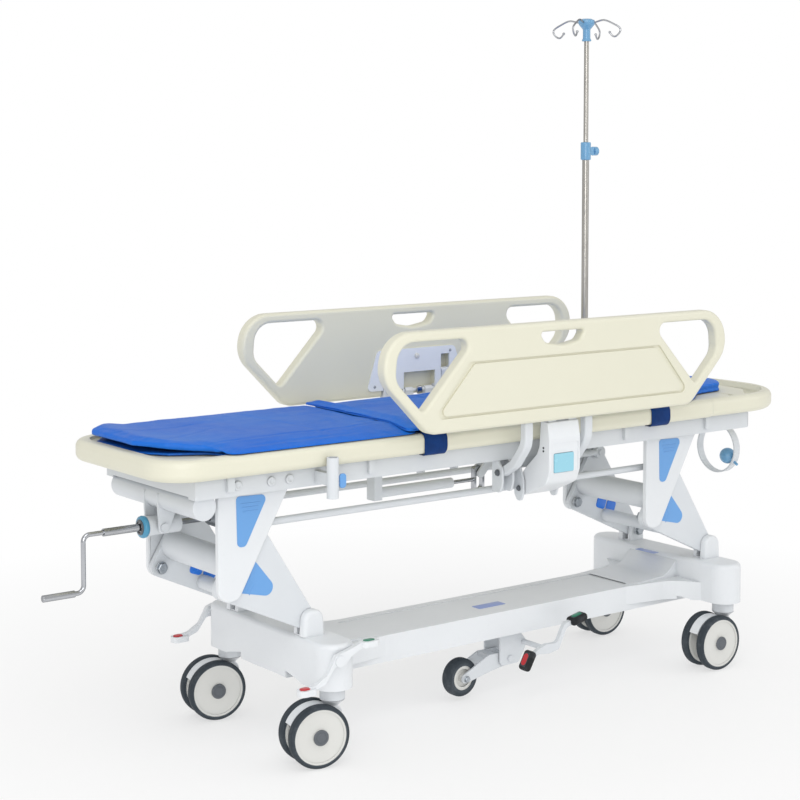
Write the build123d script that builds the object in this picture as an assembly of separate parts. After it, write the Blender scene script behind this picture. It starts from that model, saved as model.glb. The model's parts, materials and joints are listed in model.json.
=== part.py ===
"""Stretcher trolley: crank-lifted ward trolley with drop side rails, rebuilt as separate pieces.

Frame: millimetres, +Z up, +X towards the head end, -Y the near side, origin on the floor
below the middle of the deck frame. Every piece is written where it sits at rest.
"""
import math
import os

from build123d import *

os.makedirs("parts", exist_ok=True)

RUNNING = 0.05                      # radial play of every turning or sliding fit

# deck frame
FRAME_HALF_LENGTH = 900.0
FRAME_HALF_WIDTH = 206.0
FRAME_BOTTOM = 655.0
FRAME_TOP = 700.0
FRAME_TUBE = 30.0                   # width of the side tubes
FRAME_WALL = 3.0
CROSS_TUBES_X = (-885, -790, -660, -300, 330, 555, 685, 885)
RISERS_X = (-811, -420, 60, 420, 730)   # stubs that carry the moulded deck

# lift linkage, foot unit; the head unit is the same shifted by UNIT_PITCH
UNIT_PITCH = 1357.0
BASE_PIVOT = (-560.0, 320.0)        # x, z of the rocker pivot on the base
ELBOW_PIVOT = (-796.0, 429.0)       # rocker to deck frame
APEX_PIVOT = (-715.0, 566.0)        # rocker to link rods
PIN_R = 8.0
ROCKER_IN = 138.0
ROCKER_OUT = 154.0
HANGER_IN = 155.0
HANGER_OUT = 161.0
COVER_OUT = 168.0

# base
CASTOR_X = (-546.0, 785.0)
CASTOR_Y = 226.0
BEAM_HALF_WIDTH = 98.0
BEAM_BOTTOM = 164.0
BEAM_TOP = 231.0
CROSS_BOTTOM = 180.0
CROSS_TOP = 290.0
CROSS_END_R = 48.0
WALL = 5.0

# castors
WHEEL_R = 75.0
WHEEL_W = 24.0
WHEEL_GAP = 17.0                    # from the castor middle to the inner wheel face
RIM_R = 65.0
TRAIL = 47.0
SWIVEL = (-10.8, -2.0)              # how far the foot and head castors stand turned at rest, degrees
COLUMN_R = 30.0

# deck
DECK_FOOT = -998.0
DECK_HEAD = 1080.0
DECK_HALF_WIDTH = 250.0
DECK_BOTTOM = 703.0
DECK_TOP = 753.0
PLATFORM_TOP = 745.0
PLATFORM_SKIN = 7.0
HEAD_STEP_X = 716.0
HEAD_STEP = 7.0
BACK_HINGE_X = 130.0
BACK_HINGE_Z = 737.0
BACK_END_X = 872.0
PAD_BOTTOM = 750.0
PAD_THICKNESS = 26.0
PAD_HALF_WIDTH = 240.0

# side rails
RAIL_CENTRE_X = 108.0
RAIL_Y = 305.0
RAIL_THICK = 36.0
RAIL_TOP = 1009.0
RAIL_BOTTOM = 762.0
RAIL_EDGE_R = 9.0
GRIP_CENTRE_X = 90.0                # hand-hold slot in the top edge of the rail
POCKET_Y = 305.5                    # back of the pockets that take the arms and the lock
ARM_X = (-3.0, 198.0)
ARM_WIDTH = 26.0
ARM_THICK = 22.0
ARM_FOOT = (207.0, 625.0)           # y, z of the lower arm pivot
ARM_HEAD = (292.0, 820.0)           # y, z of the upper arm pivot
ARM_SLOT_TOP = 868.0
LOCK_X = (56.0, 160.0)
LOCK_FOOT = (207.0, 578.0)
LOCK_HEAD = (292.0, 773.0)
LOCK_SLOT_TOP = 825.0
LOCK_FRONT = 311.0

# crank
CRANK_Z = APEX_PIVOT[1]
TRUNNION_X = -880.0

# poles
POLE_XY = (712.0, 266.0)
SPARE_POLE_XY = (-571.0, -266.0)
POLE_R = 10.0

# base cover and chassis
FLARE_REACH = 250.0                 # from the castor line to where the beam sides start to spread
FLARE_SPREAD = 190.0
COLUMN_TOP = CROSS_TOP - WALL
COLUMN_BOTTOM = 152.0
STEM_R = 14.0
STEM_TOP = 250.0
STEER_X = (104.0, 172.0)
STEER_PIVOT = (138.0, 92.0)
STEER_Y = -35.0                     # the steering unit stands off the middle line
PEDAL_PIVOT = (184.0, 130.0)
PEDAL_SHAFT_R = 7.0
POST_R = 26.0

# pedals and steering wheel
BRAKE_PIVOT = (-569.0, 257.0)
BRAKE_Y = (-291.0, -279.0)
STEER_WHEEL = (-6.0, 60.0)
STEER_WHEEL_R = 50.0

# lift linkage details: tubes are (x, z, radius), plates are (x, z, corner radius)
TORQUE_TUBE = (-757.0, 478.0, 34.0)
CROSS_TUBE = (-677.0, 377.0, 17.5)
ROCKER_R = 23.0
INSERT_DEPTH = 3.0                  # the inserts stand half a millimetre proud of the rocker
LOWER_INSERT = [(-715, 490, 5), (-758, 418, 6), (-632, 389, 19)]
UPPER_INSERT = [(-771, 645, 9), (-684, 642, 12), (-746, 527, 12), (-768, 527, 11)]
ROD_Y = 127.0
NUT_HALF = 26.0
SCREW_R = 7.0

# hangers and deck supports
HANGER = [(-818, 652, 0), (-626, 652, 0), (-763, 406, 24), (-818, 398, 30)]
HANGER_CAVITY = [(-812, 653, 0), (-637, 653, 0), (-766, 414, 18), (-812, 405, 22)]
HANGER_PLATE = [(-811, 653, 0), (-640, 653, 0), (-768, 417, 18), (-811, 408, 22)]
FOOT_TUBE = (-867.0, 634.0, 30.0)
RISER_TOP = PLATFORM_TOP - PLATFORM_SKIN
RISER_IN = 201.0
RISER_OUT = 215.0
BACK_LUG_Y = 150.0
SPRING_X = -300.0
SPRING_Y = -60.0
SPRING_Z = 582.0
TRUNNION_R = 6.0

# crank screw
COLLAR_X = -917.0
HOUSING_END_X = -826.0
CRANK_ARM_X = -1070.0
CRANK_DROP = 130.0
GRIP_END_X = -1172.0

# back lever, cushions and straps
LEVER_R = 170.0
LEVER_PIN = (BACK_HINGE_X - LEVER_R * math.sin(math.radians(35)),
             BACK_HINGE_Z - LEVER_R * math.cos(math.radians(35)))
YOKE_TOP = BACK_HINGE_Z - LEVER_R * math.cos(math.radians(35)) + 10
YOKE_BOTTOM = BACK_HINGE_Z - LEVER_R - 10
SPLIT_X = -310.0
STRAP_X = (-257.0, 507.0)
STRAP_HALF = 35.0

# rail pockets and button
POCKET_HALF = 17.5
BUTTON_X = (72.0, 137.0)
BUTTON_Z = (628.0, 676.0)
BUTTON_TRAVEL = 5.0

# drip pole
CLAMP_Z = (1406.0, 1458.0)
UPPER_R = 7.0
HUB_Z = (1752.0, 1818.0)

# bottle ring
RING_CENTRE = (960.0, -41.0, 571.0)
RING_R = 73.0
RING_WIDTH = 23.0
PAD_SCREW_R = 4.0
PAD_TOWARD = Vector(0, 42, 24).normalized()


def outline(corners, plane):
    """Closed face with rounded corners, each given as (across, up, radius) on the plane."""
    count = len(corners)
    spans = []
    for i, (across, up, radius) in enumerate(corners):
        here = Vector(across, up)
        back = (Vector(*corners[i - 1][:2]) - here).normalized()
        ahead = (Vector(*corners[(i + 1) % count][:2]) - here).normalized()
        half = math.radians(back.get_angle(ahead)) / 2
        run = radius / math.tan(half)
        inward = (back + ahead).normalized()
        middle = here + inward * (radius / math.sin(half) - radius)
        spans.append((here + back * run, middle, here + ahead * run, radius))
    edges = []
    for i, (start, middle, end, radius) in enumerate(spans):
        placed = [plane.from_local_coords(v) for v in (start, middle, end)]
        if radius > 0:
            edges.append(Edge.make_three_point_arc(*placed))
        following = plane.from_local_coords(spans[(i + 1) % count][0])
        edges.append(Edge.make_line(placed[2], following))
    return Face(Wire(edges))


def side_plate(corners, y0, y1):
    """Plate in the X-Z plane running from y0 to y1."""
    plane = Plane((0, y0, 0), x_dir=(1, 0, 0), z_dir=(0, -1, 0))
    return Solid.extrude(outline(corners, plane), Vector(0, y1 - y0, 0))


def plan_plate(corners, z0, z1):
    """Plate in the X-Y plane running from z0 to z1."""
    return Solid.extrude(outline(corners, Plane((0, 0, z0))), Vector(0, 0, z1 - z0))


def section_bar(corners, x0, x1):
    """Bar whose section lies in the Y-Z plane, running from x0 to x1."""
    plane = Plane((x0, 0, 0), x_dir=(0, 1, 0), z_dir=(1, 0, 0))
    return Solid.extrude(outline(corners, plane), Vector(x1 - x0, 0, 0))


def rectangle(a0, a1, b0, b1, radius=0.0):
    """Corner list of a rectangle for the plate functions."""
    return [(a0, b0, radius), (a1, b0, radius), (a1, b1, radius), (a0, b1, radius)]


def block(x0, x1, y0, y1, z0, z1):
    return Solid.extrude(outline(rectangle(x0, x1, y0, y1), Plane((0, 0, z0))), Vector(0, 0, z1 - z0))


def rod_x(radius, x0, x1, y, z):
    return Solid.make_cylinder(radius, x1 - x0, Plane((x0, y, z), z_dir=(1, 0, 0)))


def rod_y(radius, y0, y1, x, z):
    return Solid.make_cylinder(radius, y1 - y0, Plane((x, y0, z), z_dir=(0, 1, 0)))


def rod_z(radius, z0, z1, x, y):
    return Solid.make_cylinder(radius, z1 - z0, Plane((x, y, z0)))


def hex_y(across_flats, y0, y1, x, z):
    """Hexagon bolt head whose axis runs along Y."""
    plane = Plane((x, y0, z), x_dir=(1, 0, 0), z_dir=(0, 1, 0))
    face = plane * RegularPolygon(across_flats / 2, 6, major_radius=False)
    return extrude(face, y1 - y0)


def hull_plate(circles, y0, y1):
    """Plate that wraps round circles (x, z, radius) in the X-Z plane."""
    discs = Sketch() + [Pos(x, z) * Circle(r) for x, z, r in circles]
    plane = Plane((0, y0, 0), x_dir=(1, 0, 0), z_dir=(0, -1, 0))
    return extrude(plane * make_hull(discs.edges()), y1 - y0, dir=(0, 1, 0))


def both_sides(shape):
    """The shape and its mirror image across the middle of the trolley."""
    return [shape, far(shape)]


def far(shape):
    return mirror(shape, about=Plane.XZ)


def bent_rod(points, radius, bend):
    """Round rod following a polyline with rounded bends."""
    path = FilletPolyline(*points, radius=bend)
    start = Plane(origin=path @ 0, z_dir=path % 0)
    return sweep(start * Circle(radius), path=path)


def save(name, *pieces):
    """Write one node; several pieces of a node stay separate solids."""
    solids = []
    for piece in pieces:
        solids.extend(piece.solids())
    shape = solids[0] if len(solids) == 1 else Compound(solids)
    export_step(shape, f"parts/{name}.step")


def shifted(shape, unit):
    return Pos(unit * UNIT_PITCH, 0, 0) * shape


# ---------------------------------------------------------------- base
def dog_bone(inset, z_beam, z_cross):
    """Beam with a rounded crosspiece at each end, every wall moved inwards by the inset."""
    half = BEAM_HALF_WIDTH - inset
    body = block(CASTOR_X[0], CASTOR_X[1], -half, half, BEAM_BOTTOM, z_beam)
    for castor_x, inward in ((CASTOR_X[0], 1), (CASTOR_X[1], -1)):
        end_r = CROSS_END_R - inset
        cross = plan_plate([
            (castor_x - end_r, -CASTOR_Y - end_r, end_r - 0.5),
            (castor_x + end_r, -CASTOR_Y - end_r, end_r - 0.5),
            (castor_x + end_r, CASTOR_Y + end_r, end_r - 0.5),
            (castor_x - end_r, CASTOR_Y + end_r, end_r - 0.5),
        ], CROSS_BOTTOM, z_cross)
        flare_x = castor_x + inward * FLARE_REACH
        face_x = castor_x + inward * (end_r - 1)
        flare = plan_plate([
            (castor_x, -FLARE_SPREAD + inset, 0), (face_x, -FLARE_SPREAD + inset, 6),
            (face_x + inward * 55, -half - 22, 70), (flare_x, -half, 0),
            (flare_x, half, 0), (face_x + inward * 55, half + 22, 70),
            (face_x, FLARE_SPREAD - inset, 6), (castor_x, FLARE_SPREAD - inset, 0),
        ], BEAM_BOTTOM + 16, z_beam)
        ramp = side_plate([
            (castor_x, z_beam - 20, 0), (castor_x + inward * (FLARE_REACH - 4), z_beam - 20, 0),
            (castor_x + inward * (FLARE_REACH - 4), z_beam, 0),
            (face_x + inward * 40, z_beam + 8, 60), (face_x, z_cross - 10, 20),
            (castor_x, z_cross - 10, 0),
        ], -half + 6, half - 6)
        body = body + cross + flare + ramp
    return body


def base_cover():
    cover = dog_bone(0, BEAM_TOP, CROSS_TOP)
    top_rim = cover.edges().filter_by_position(Axis.Z, CROSS_TOP - 0.1, CROSS_TOP + 0.1)
    cover = fillet(top_rim, 12)
    cover = cover - dog_bone(WALL, BEAM_TOP - WALL, CROSS_TOP - WALL)
    panel = plan_plate(rectangle(-400, 650, -74, 74, 12), BEAM_TOP - 1.5, BEAM_TOP + 1)
    cover = cover - panel
    for castor_x in CASTOR_X:
        arch = rod_x(620, castor_x - 90, castor_x + 90, 0, CROSS_BOTTOM - 596)
        trim = block(castor_x - 90, castor_x + 90, -165, 165, BEAM_BOTTOM - 60, CROSS_TOP - 80)
        clear = block(castor_x - 90, castor_x + 90, -BEAM_HALF_WIDTH, BEAM_HALF_WIDTH, 0, CROSS_TOP - 80)
        cover = cover - ((arch & trim) - clear)
    return cover


def base_frame():
    """Welded chassis inside the cover: two long tubes, cross tubes and four castor columns."""
    frame = block(CASTOR_X[0] - 30, CASTOR_X[1] + 30, 40, 80, 170, 210)
    frame = frame + block(CASTOR_X[0] - 30, CASTOR_X[1] + 30, -80, -40, 170, 210)
    for castor_x in CASTOR_X:
        frame = frame + block(castor_x - 25, castor_x + 25, -CASTOR_Y, CASTOR_Y, 206, COLUMN_TOP)
        for y in (-CASTOR_Y, CASTOR_Y):
            frame = frame + rod_z(COLUMN_R, COLUMN_BOTTOM, COLUMN_TOP, castor_x, y)
            frame = frame - rod_z(STEM_R + RUNNING, COLUMN_BOTTOM - 1, STEM_TOP + 1, castor_x, y)
    bracket = block(STEER_X[0], STEER_X[1], -45, 45, 158, 174)
    for y0, y1 in ((-34, -29), (29, 34)):
        cheek = side_plate([
            (STEER_X[0], 160, 0), (STEER_X[1], 160, 0), (STEER_X[1] + 26, 128, 14),
            (STEER_X[1] - 4, 76, 14), (STEER_X[0], 76, 14),
        ], y0, y1)
        bracket = bracket + cheek
    bracket = bracket - rod_y(PEDAL_SHAFT_R + RUNNING, -40, 40, *PEDAL_PIVOT)
    bracket = bracket + rod_y(6, -34, 34, *STEER_PIVOT)
    for y0, y1 in ((-39, -34), (34, 39)):
        bracket = bracket + hex_y(16, y0, y1, *STEER_PIVOT)
    return frame + Pos(0, STEER_Y, 0) * bracket


def pivot_post():
    """Near post of the foot unit: hood outside the rocker, cheek and bolt head inside it."""
    x, z = BASE_PIVOT
    hood = side_plate([
        (x - POST_R - 4, CROSS_TOP, 0), (x + POST_R + 4, CROSS_TOP, 0),
        (x + POST_R, z + POST_R + 6, POST_R - 1), (x - POST_R, z + POST_R + 6, POST_R - 1),
    ], -ROCKER_OUT - 22, -ROCKER_OUT - 1)
    hood = fillet(hood.faces().sort_by(Axis.Y)[0].edges().filter_by(
        lambda e: e.center().Z > CROSS_TOP + 1), 9)
    cheek = side_plate([
        (x - POST_R, CROSS_TOP, 0), (x + POST_R, CROSS_TOP, 0),
        (x + POST_R - 4, z + POST_R, POST_R - 5), (x - POST_R + 4, z + POST_R, POST_R - 5),
    ], -ROCKER_IN + 1, -ROCKER_IN + 13)
    foot = block(x - POST_R, x + POST_R, -ROCKER_OUT - 1.5, -ROCKER_IN + 1.5, CROSS_TOP, CROSS_TOP + 2)
    pin = rod_y(PIN_R, -ROCKER_OUT - 8, -ROCKER_IN + 13, x, z)
    head = hex_y(22, -ROCKER_IN + 13, -ROCKER_IN + 21, x, z)
    return hood + cheek + foot + pin + head


# ---------------------------------------------------------------- castors
def castor_parts(castor_x, castor_y, swivel):
    """Fork with its hood, the joined rim pair and the two tyres of one twin-wheel castor."""
    hub_x = castor_x - TRAIL
    hood = hull_plate([(hub_x, WHEEL_R, 26), (castor_x - 14, 96, 26), (castor_x - 6, 118, 24)],
                      -WHEEL_GAP + 2, WHEEL_GAP - 2)
    guard = hull_plate([(hub_x, WHEEL_R, WHEEL_R - 3), (hub_x + 1, WHEEL_R, WHEEL_R - 3)],
                       -WHEEL_GAP + 2, WHEEL_GAP - 2)
    guard = guard & side_plate([
        (hub_x, WHEEL_R, 0), (hub_x + 90, WHEEL_R - 8, 0), (hub_x + 90, WHEEL_R + 90, 0),
        (hub_x - 66, WHEEL_R + 90, 0), (hub_x - 66, WHEEL_R + 30, 0),
    ], -WHEEL_GAP + 2, WHEEL_GAP - 2)
    fork = hood + guard
    crown = Solid.make_cone(16, COLUMN_R, 13, Plane((castor_x, 0, 138)))
    stem = rod_z(STEM_R, 120, STEM_TOP, castor_x, 0)
    fork = fork + crown + stem - rod_y(6 + RUNNING, -40, 40, hub_x, WHEEL_R)
    rims = rod_y(6, -WHEEL_GAP - 2, WHEEL_GAP + 2, hub_x, WHEEL_R)
    tyres = []
    for side in (-1, 1):
        y0, y1 = sorted((side * WHEEL_GAP, side * (WHEEL_GAP + WHEEL_W)))
        disc = rod_y(RIM_R, y0 + 1, y1 - 1, hub_x, WHEEL_R)
        outer = side * (WHEEL_GAP + WHEEL_W - 1)
        dish = rod_y(RIM_R - 5, *sorted((outer, outer - side * 2.5)), hub_x, WHEEL_R)
        boss = rod_y(19, *sorted((outer - side * 4, outer + side * 1)), hub_x, WHEEL_R)
        inner = side * (WHEEL_GAP + 1)
        well = rod_y(RIM_R - 7, *sorted((inner, inner + side * 9)), hub_x, WHEEL_R)
        nave = rod_y(14, *sorted((inner - side * 1, inner + side * 10)), hub_x, WHEEL_R)
        rims = rims + (disc - dish - well + boss + nave)
        ring = rod_y(WHEEL_R, y0, y1, hub_x, WHEEL_R)
        ring = fillet(ring.edges().filter_by(GeomType.CIRCLE), 7)
        tyres.append(ring - rod_y(RIM_R, y0 - 1, y1 + 1, hub_x, WHEEL_R))
    place = Pos(castor_x, castor_y, 0) * Rot(0, 0, swivel) * Pos(-castor_x, 0, 0)
    return place * fork, place * rims, [place * tyre for tyre in tyres]


# ---------------------------------------------------------------- pedals


def brake_pedal():
    """Near brake pedal: a rocker with a pad for the foot at each end."""
    x, z = BRAKE_PIVOT
    y0, y1 = BRAKE_Y
    arm = side_plate([
        (x - 14, z - 12, 12), (x - 40, z - 46, 20), (x - 74, z - 58, 10), (x - 108, z - 62, 5),
        (x - 108, z - 50, 5), (x - 66, z - 44, 12), (x - 34, z - 26, 20), (x - 10, z + 14, 12),
        (x + 30, z + 24, 16), (x + 62, z + 34, 5), (x + 106, z + 34, 5), (x + 106, z + 22, 5),
        (x + 66, z + 22, 8), (x + 34, z + 8, 16), (x + 14, z - 12, 10),
    ], y0, y1)
    button = rod_y(13, y0 - 3, y0 + 1, x, z)
    red = plan_plate(rectangle(x - 112, x - 66, y0 - 10, y1 + 10, 13), z - 64, z - 50)
    green = plan_plate(rectangle(x + 62, x + 110, y0 - 10, y1 + 10, 13), z + 21, z + 35)
    return arm + button + red + green + rod_y(9, y1 - 1, y1 + 5, x, z)


def steer_pedal():
    """Cross shaft with a pair of cranked pedal arms, one each side of the beam."""
    x, z = PEDAL_PIVOT
    shaft = rod_y(PEDAL_SHAFT_R, -150, 150, x, z)
    arm = side_plate([
        (x - 12, z - 12, 8), (x + 10, z - 14, 8), (x + 44, z - 8, 16), (x + 70, z + 44, 16),
        (x + 112, z + 56, 4), (x + 112, z + 66, 4), (x + 64, z + 58, 18), (x + 38, z + 10, 16),
        (x, z + 12, 10), (x - 30, z + 2, 8), (x - 62, z - 16, 4), (x - 58, z - 26, 4), (x - 28, z - 10, 8),
    ], -162, -150)
    return shaft + arm + far(arm)


def steer_pads():
    """Rubber pads at the ends of the pedal arms, green end up, red end down."""
    x, z = PEDAL_PIVOT
    pads = []
    for dx, dz, tilt in ((112, 62, -12), (-62, -22, -60)):
        pad = Box(54, 34, 22)
        pad = fillet(pad.edges(), 9)
        pad = Pos(x + dx, -157, z + dz) * Rot(0, tilt, 0) * pad
        pads.extend(both_sides(pad - steer_pedal()))
    return pads


def steer_arm():
    """Swing arm that carries the steering wheel between two cheeks."""
    px, pz = STEER_PIVOT
    wx, wz = STEER_WHEEL
    arm = None
    for y0, y1 in ((-26, -21), (21, 26)):
        cheek = hull_plate([(px, pz, 17), (px - 60, pz - 4, 22)], y0, y1)
        cheek = cheek + hull_plate([(px - 60, pz - 4, 22), (wx, wz, 12)], y0, y1)
        arm = cheek if arm is None else arm + cheek
    arm = arm + block(px - 66, px - 34, -22, 22, pz + 8, pz + 17)
    arm = arm + rod_y(11, -26, 26, px, pz)
    arm = arm - rod_y(6 + RUNNING, -30, 30, px, pz)
    arm = arm + rod_y(6, -26, 26, wx, wz)
    for y0, y1 in ((-31, -26), (26, 31)):
        arm = arm + hex_y(14, y0, y1, wx, wz)
    return Pos(0, STEER_Y, 0) * arm


def steer_wheel():
    wx, wz = STEER_WHEEL
    hub = rod_y(32, -15, 15, wx, wz) - rod_y(24, -16, -9, wx, wz) - rod_y(24, 9, 16, wx, wz)
    hub = hub + rod_y(12, -19, 19, wx, wz) - rod_y(6 + RUNNING, -20, 20, wx, wz)
    tyre = rod_y(STEER_WHEEL_R, -17, 17, wx, wz)
    tyre = fillet(tyre.edges().filter_by(GeomType.CIRCLE), 10)
    tyre = tyre - rod_y(32, -20, 20, wx, wz)
    return Pos(0, STEER_Y, 0) * hub, Pos(0, STEER_Y, 0) * tyre


# ---------------------------------------------------------------- lift linkage


def rocker():
    """Foot rocker: two triangular side plates joined by tubes and by the apex bar."""
    corners = [(*BASE_PIVOT, ROCKER_R - 1), (*ELBOW_PIVOT, ROCKER_R), (*APEX_PIVOT, ROCKER_R - 2)]
    plate = hull_plate(corners, -ROCKER_OUT, -ROCKER_IN)
    outer = plate.faces().sort_by(Axis.Y)[0]
    plate = fillet(outer.edges(), 2.5)
    insert = outline(LOWER_INSERT, Plane((0, -ROCKER_OUT - 0.5, 0), x_dir=(1, 0, 0), z_dir=(0, -1, 0)))
    plate = plate - Solid.extrude(insert, Vector(0, 3, 0))
    body = plate + far(plate)
    tube_x, tube_z, tube_r = TORQUE_TUBE
    body = body + rod_y(tube_r, -ROCKER_IN, ROCKER_IN, tube_x, tube_z)
    tube_x, tube_z, tube_r = CROSS_TUBE
    body = body + rod_y(tube_r, -ROCKER_IN, ROCKER_IN, tube_x, tube_z)
    body = body - rod_y(PIN_R + RUNNING, -200, 200, *BASE_PIVOT)
    for y0, y1 in ((-200, -ROCKER_IN + 2), (ROCKER_IN - 2, 200)):
        body = body - rod_y(PIN_R + RUNNING, y0, y1, *ELBOW_PIVOT)
    return body


def rocker_insert(y):
    face_plane = Plane((0, y, 0), x_dir=(1, 0, 0), z_dir=(0, -1, 0))
    return Solid.extrude(outline(LOWER_INSERT, face_plane), Vector(0, INSERT_DEPTH, 0))


def apex_bars():
    """Pins at the rocker apex that carry the link rods; the foot pair also carries the nut."""
    return rod_y(PIN_R, -ROCKER_IN, -ROCKER_IN + 22, *APEX_PIVOT)


def link_rods():
    """Two rods that keep both rockers at the same angle, with an eye at each end."""
    rods = []
    x0 = APEX_PIVOT[0]
    x1 = x0 + UNIT_PITCH
    z = APEX_PIVOT[1]
    rod = rod_x(9, x0 + 14, x1 - 14, -ROD_Y, z)
    for x in (x0, x1):
        rod = rod + rod_y(18, -ROD_Y - 8, -ROD_Y + 8, x, z)
        rod = rod - rod_y(PIN_R + RUNNING, -ROD_Y - 10, -ROD_Y + 10, x, z)
    return both_sides(rod)


def lift_nut():
    """Nut drum on the foot apex bar; the crank screw runs through it."""
    x, z = APEX_PIVOT
    drum = rod_y(26, -NUT_HALF, NUT_HALF, x, z)
    drum = drum - rod_y(PIN_R + RUNNING, -NUT_HALF - 1, -NUT_HALF + 14, x, z)
    drum = drum - rod_y(PIN_R + RUNNING, NUT_HALF - 14, NUT_HALF + 1, x, z)
    return drum - rod_x(SCREW_R + 1.5, x - 40, x + 40, 0, z)


# ---------------------------------------------------------------- deck frame


def leg_cover():
    """Near cover of the foot hanger, hollow behind so that the hanger plate sits inside."""
    cover = side_plate(HANGER, -COVER_OUT, -HANGER_IN)
    rim = cover.faces().sort_by(Axis.Y)[0].edges().filter_by(lambda e: e.center().Z < 651)
    cover = fillet(rim, 3)
    cover = cover - side_plate(HANGER_CAVITY, -HANGER_OUT - 0.5, -HANGER_IN + 1)
    recess = side_plate(UPPER_INSERT, -COVER_OUT - 1, -COVER_OUT + 3)
    return cover - recess


def leg_insert():
    return side_plate(UPPER_INSERT, -COVER_OUT - 1, -COVER_OUT + 3)


def main_frame():
    """Welded deck frame with hangers, rail brackets, deck risers and pole sockets."""
    inner = FRAME_HALF_WIDTH - FRAME_TUBE
    frame = block(-FRAME_HALF_LENGTH, FRAME_HALF_LENGTH, -FRAME_HALF_WIDTH, -inner, FRAME_BOTTOM, FRAME_TOP)
    frame = frame + far(frame)
    wall = FRAME_WALL
    for x in CROSS_TUBES_X:
        frame = frame + block(x - 15, x + 15, -inner - 1, inner + 1, FRAME_BOTTOM + 5, FRAME_TOP)
        frame = frame - block(x - 15 + wall, x + 15 - wall, -inner - wall - 2, inner + wall + 2,
                              FRAME_BOTTOM + 5 + wall, FRAME_TOP - wall)
    bore = block(-FRAME_HALF_LENGTH + wall, FRAME_HALF_LENGTH + 1, -FRAME_HALF_WIDTH + wall, -inner - wall,
                 FRAME_BOTTOM + wall, FRAME_TOP - wall)
    frame = frame - bore - far(bore)
    for unit in (0, 1):
        for plate in both_sides(side_plate(HANGER_PLATE, -HANGER_OUT, -HANGER_IN)):
            frame = frame + shifted(plate, unit)
        lintel = block(-826, -624, -HANGER_OUT, -HANGER_IN + 16, 652, FRAME_BOTTOM + 8)
        for piece in both_sides(lintel):
            frame = frame + shifted(piece, unit)
        elbow = rod_y(PIN_R, -HANGER_OUT, -ROCKER_IN + 6, *ELBOW_PIVOT)
        elbow = elbow + hex_y(22, -ROCKER_IN + 1, -ROCKER_IN + 9, *ELBOW_PIVOT)
        for piece in both_sides(elbow):
            frame = frame + shifted(piece, unit)
    tube_x, tube_z, tube_r = FOOT_TUBE
    frame = frame + rod_y(tube_r, -190, 190, tube_x, tube_z)
    for side in both_sides(trunnion_plate()):
        frame = frame + side
    for x in RISERS_X:
        for side in both_sides(block(x - 9, x + 9, -RISER_OUT, -RISER_IN, FRAME_BOTTOM + 12, RISER_TOP)):
            frame = frame + side
    for side in both_sides(rail_bracket()):
        frame = frame + side
    frame = frame + pole_socket(*POLE_XY) + pole_socket(*SPARE_POLE_XY)
    hinge_bar = rod_y(6, -BACK_LUG_Y - 14, BACK_LUG_Y + 14, BACK_HINGE_X, BACK_HINGE_Z)
    frame = frame + hinge_bar
    for y0, y1 in ((-BACK_LUG_Y - 14, -BACK_LUG_Y - 8), (BACK_LUG_Y + 8, BACK_LUG_Y + 14)):
        lug = side_plate([
            (BACK_HINGE_X - 13, FRAME_BOTTOM + 10, 0), (BACK_HINGE_X + 13, FRAME_BOTTOM + 10, 0),
            (BACK_HINGE_X + 8, BACK_HINGE_Z + 7, 6), (BACK_HINGE_X - 8, BACK_HINGE_Z + 7, 6),
        ], y0, y1)
        frame = frame + lug
    stub = block(BACK_HINGE_X - 15, BACK_HINGE_X + 15, -inner - 1, -BACK_LUG_Y, FRAME_BOTTOM + 5, FRAME_TOP - 10)
    for side in both_sides(stub):
        frame = frame + side
    spring_bar = block(SPRING_X - 12, SPRING_X + 12, SPRING_Y - 16, SPRING_Y + 16,
                       SPRING_Z - 16, FRAME_BOTTOM + 8)
    return frame + spring_bar


def trunnion_plate():
    """Near A-shaped plate that hangs the crank housing from the foot cross tube."""
    plate = hull_plate([(TRUNNION_X, CRANK_Z, 14), (-890, 640, 8), (-842, 640, 8)], -34, -28)
    return plate - rod_y(TRUNNION_R + RUNNING, -40, -20, TRUNNION_X, CRANK_Z)


def rail_bracket():
    """Near bracket under the side tube: lugs and pins for both arms and for the lock link."""
    y_foot, z_foot = ARM_FOOT
    y_lock, z_lock = LOCK_FOOT
    half = ARM_WIDTH / 2
    x0 = ARM_X[0] - half - 7.5
    x1 = ARM_X[1] + half + 7.5
    web = [(-192, 575, 0), (-184, 575, 0), (-184, FRAME_BOTTOM + 2, 0), (-192, FRAME_BOTTOM + 2, 0)]
    bracket = section_bar(web, x0, LOCK_X[0] - 3) + section_bar(web, LOCK_X[1] + 3, x1)
    strip = [(-192, 626, 0), (-184, 626, 0), (-184, FRAME_BOTTOM + 2, 0), (-192, FRAME_BOTTOM + 2, 0)]
    bracket = bracket + section_bar(strip, x0, x1)
    arm_lug = [
        (-188, 575, 0), (-214, 575, 8), (-y_foot - 15, 600, 12), (-y_foot - 15, z_foot + 10, 14),
        (-204, FRAME_BOTTOM + 1, 0), (-188, FRAME_BOTTOM + 1, 0),
    ]
    for x in ARM_X:
        for near_x in (x - half - 7.5, x + half + 1.5):
            bracket = bracket + section_bar(arm_lug, near_x, near_x + 6)
        bracket = bracket + rod_x(6, x - half - 9.5, x + half + 9.5, -y_foot, z_foot)
    lock_lug = [
        (-188, 645, 0), (-188, 562, 8), (-199, z_lock - 32, 9), (-214, z_lock - 32, 9),
        (-y_lock - 14, 566, 12), (-y_lock - 14, z_lock + 20, 14), (-204, 645, 0),
    ]
    for near_x in (LOCK_X[0] - 9, LOCK_X[1] + 3):
        bracket = bracket + section_bar(lock_lug, near_x, near_x + 6)
    return bracket + rod_x(5, LOCK_X[0] - 11, LOCK_X[1] + 11, -y_lock, z_lock)


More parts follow.
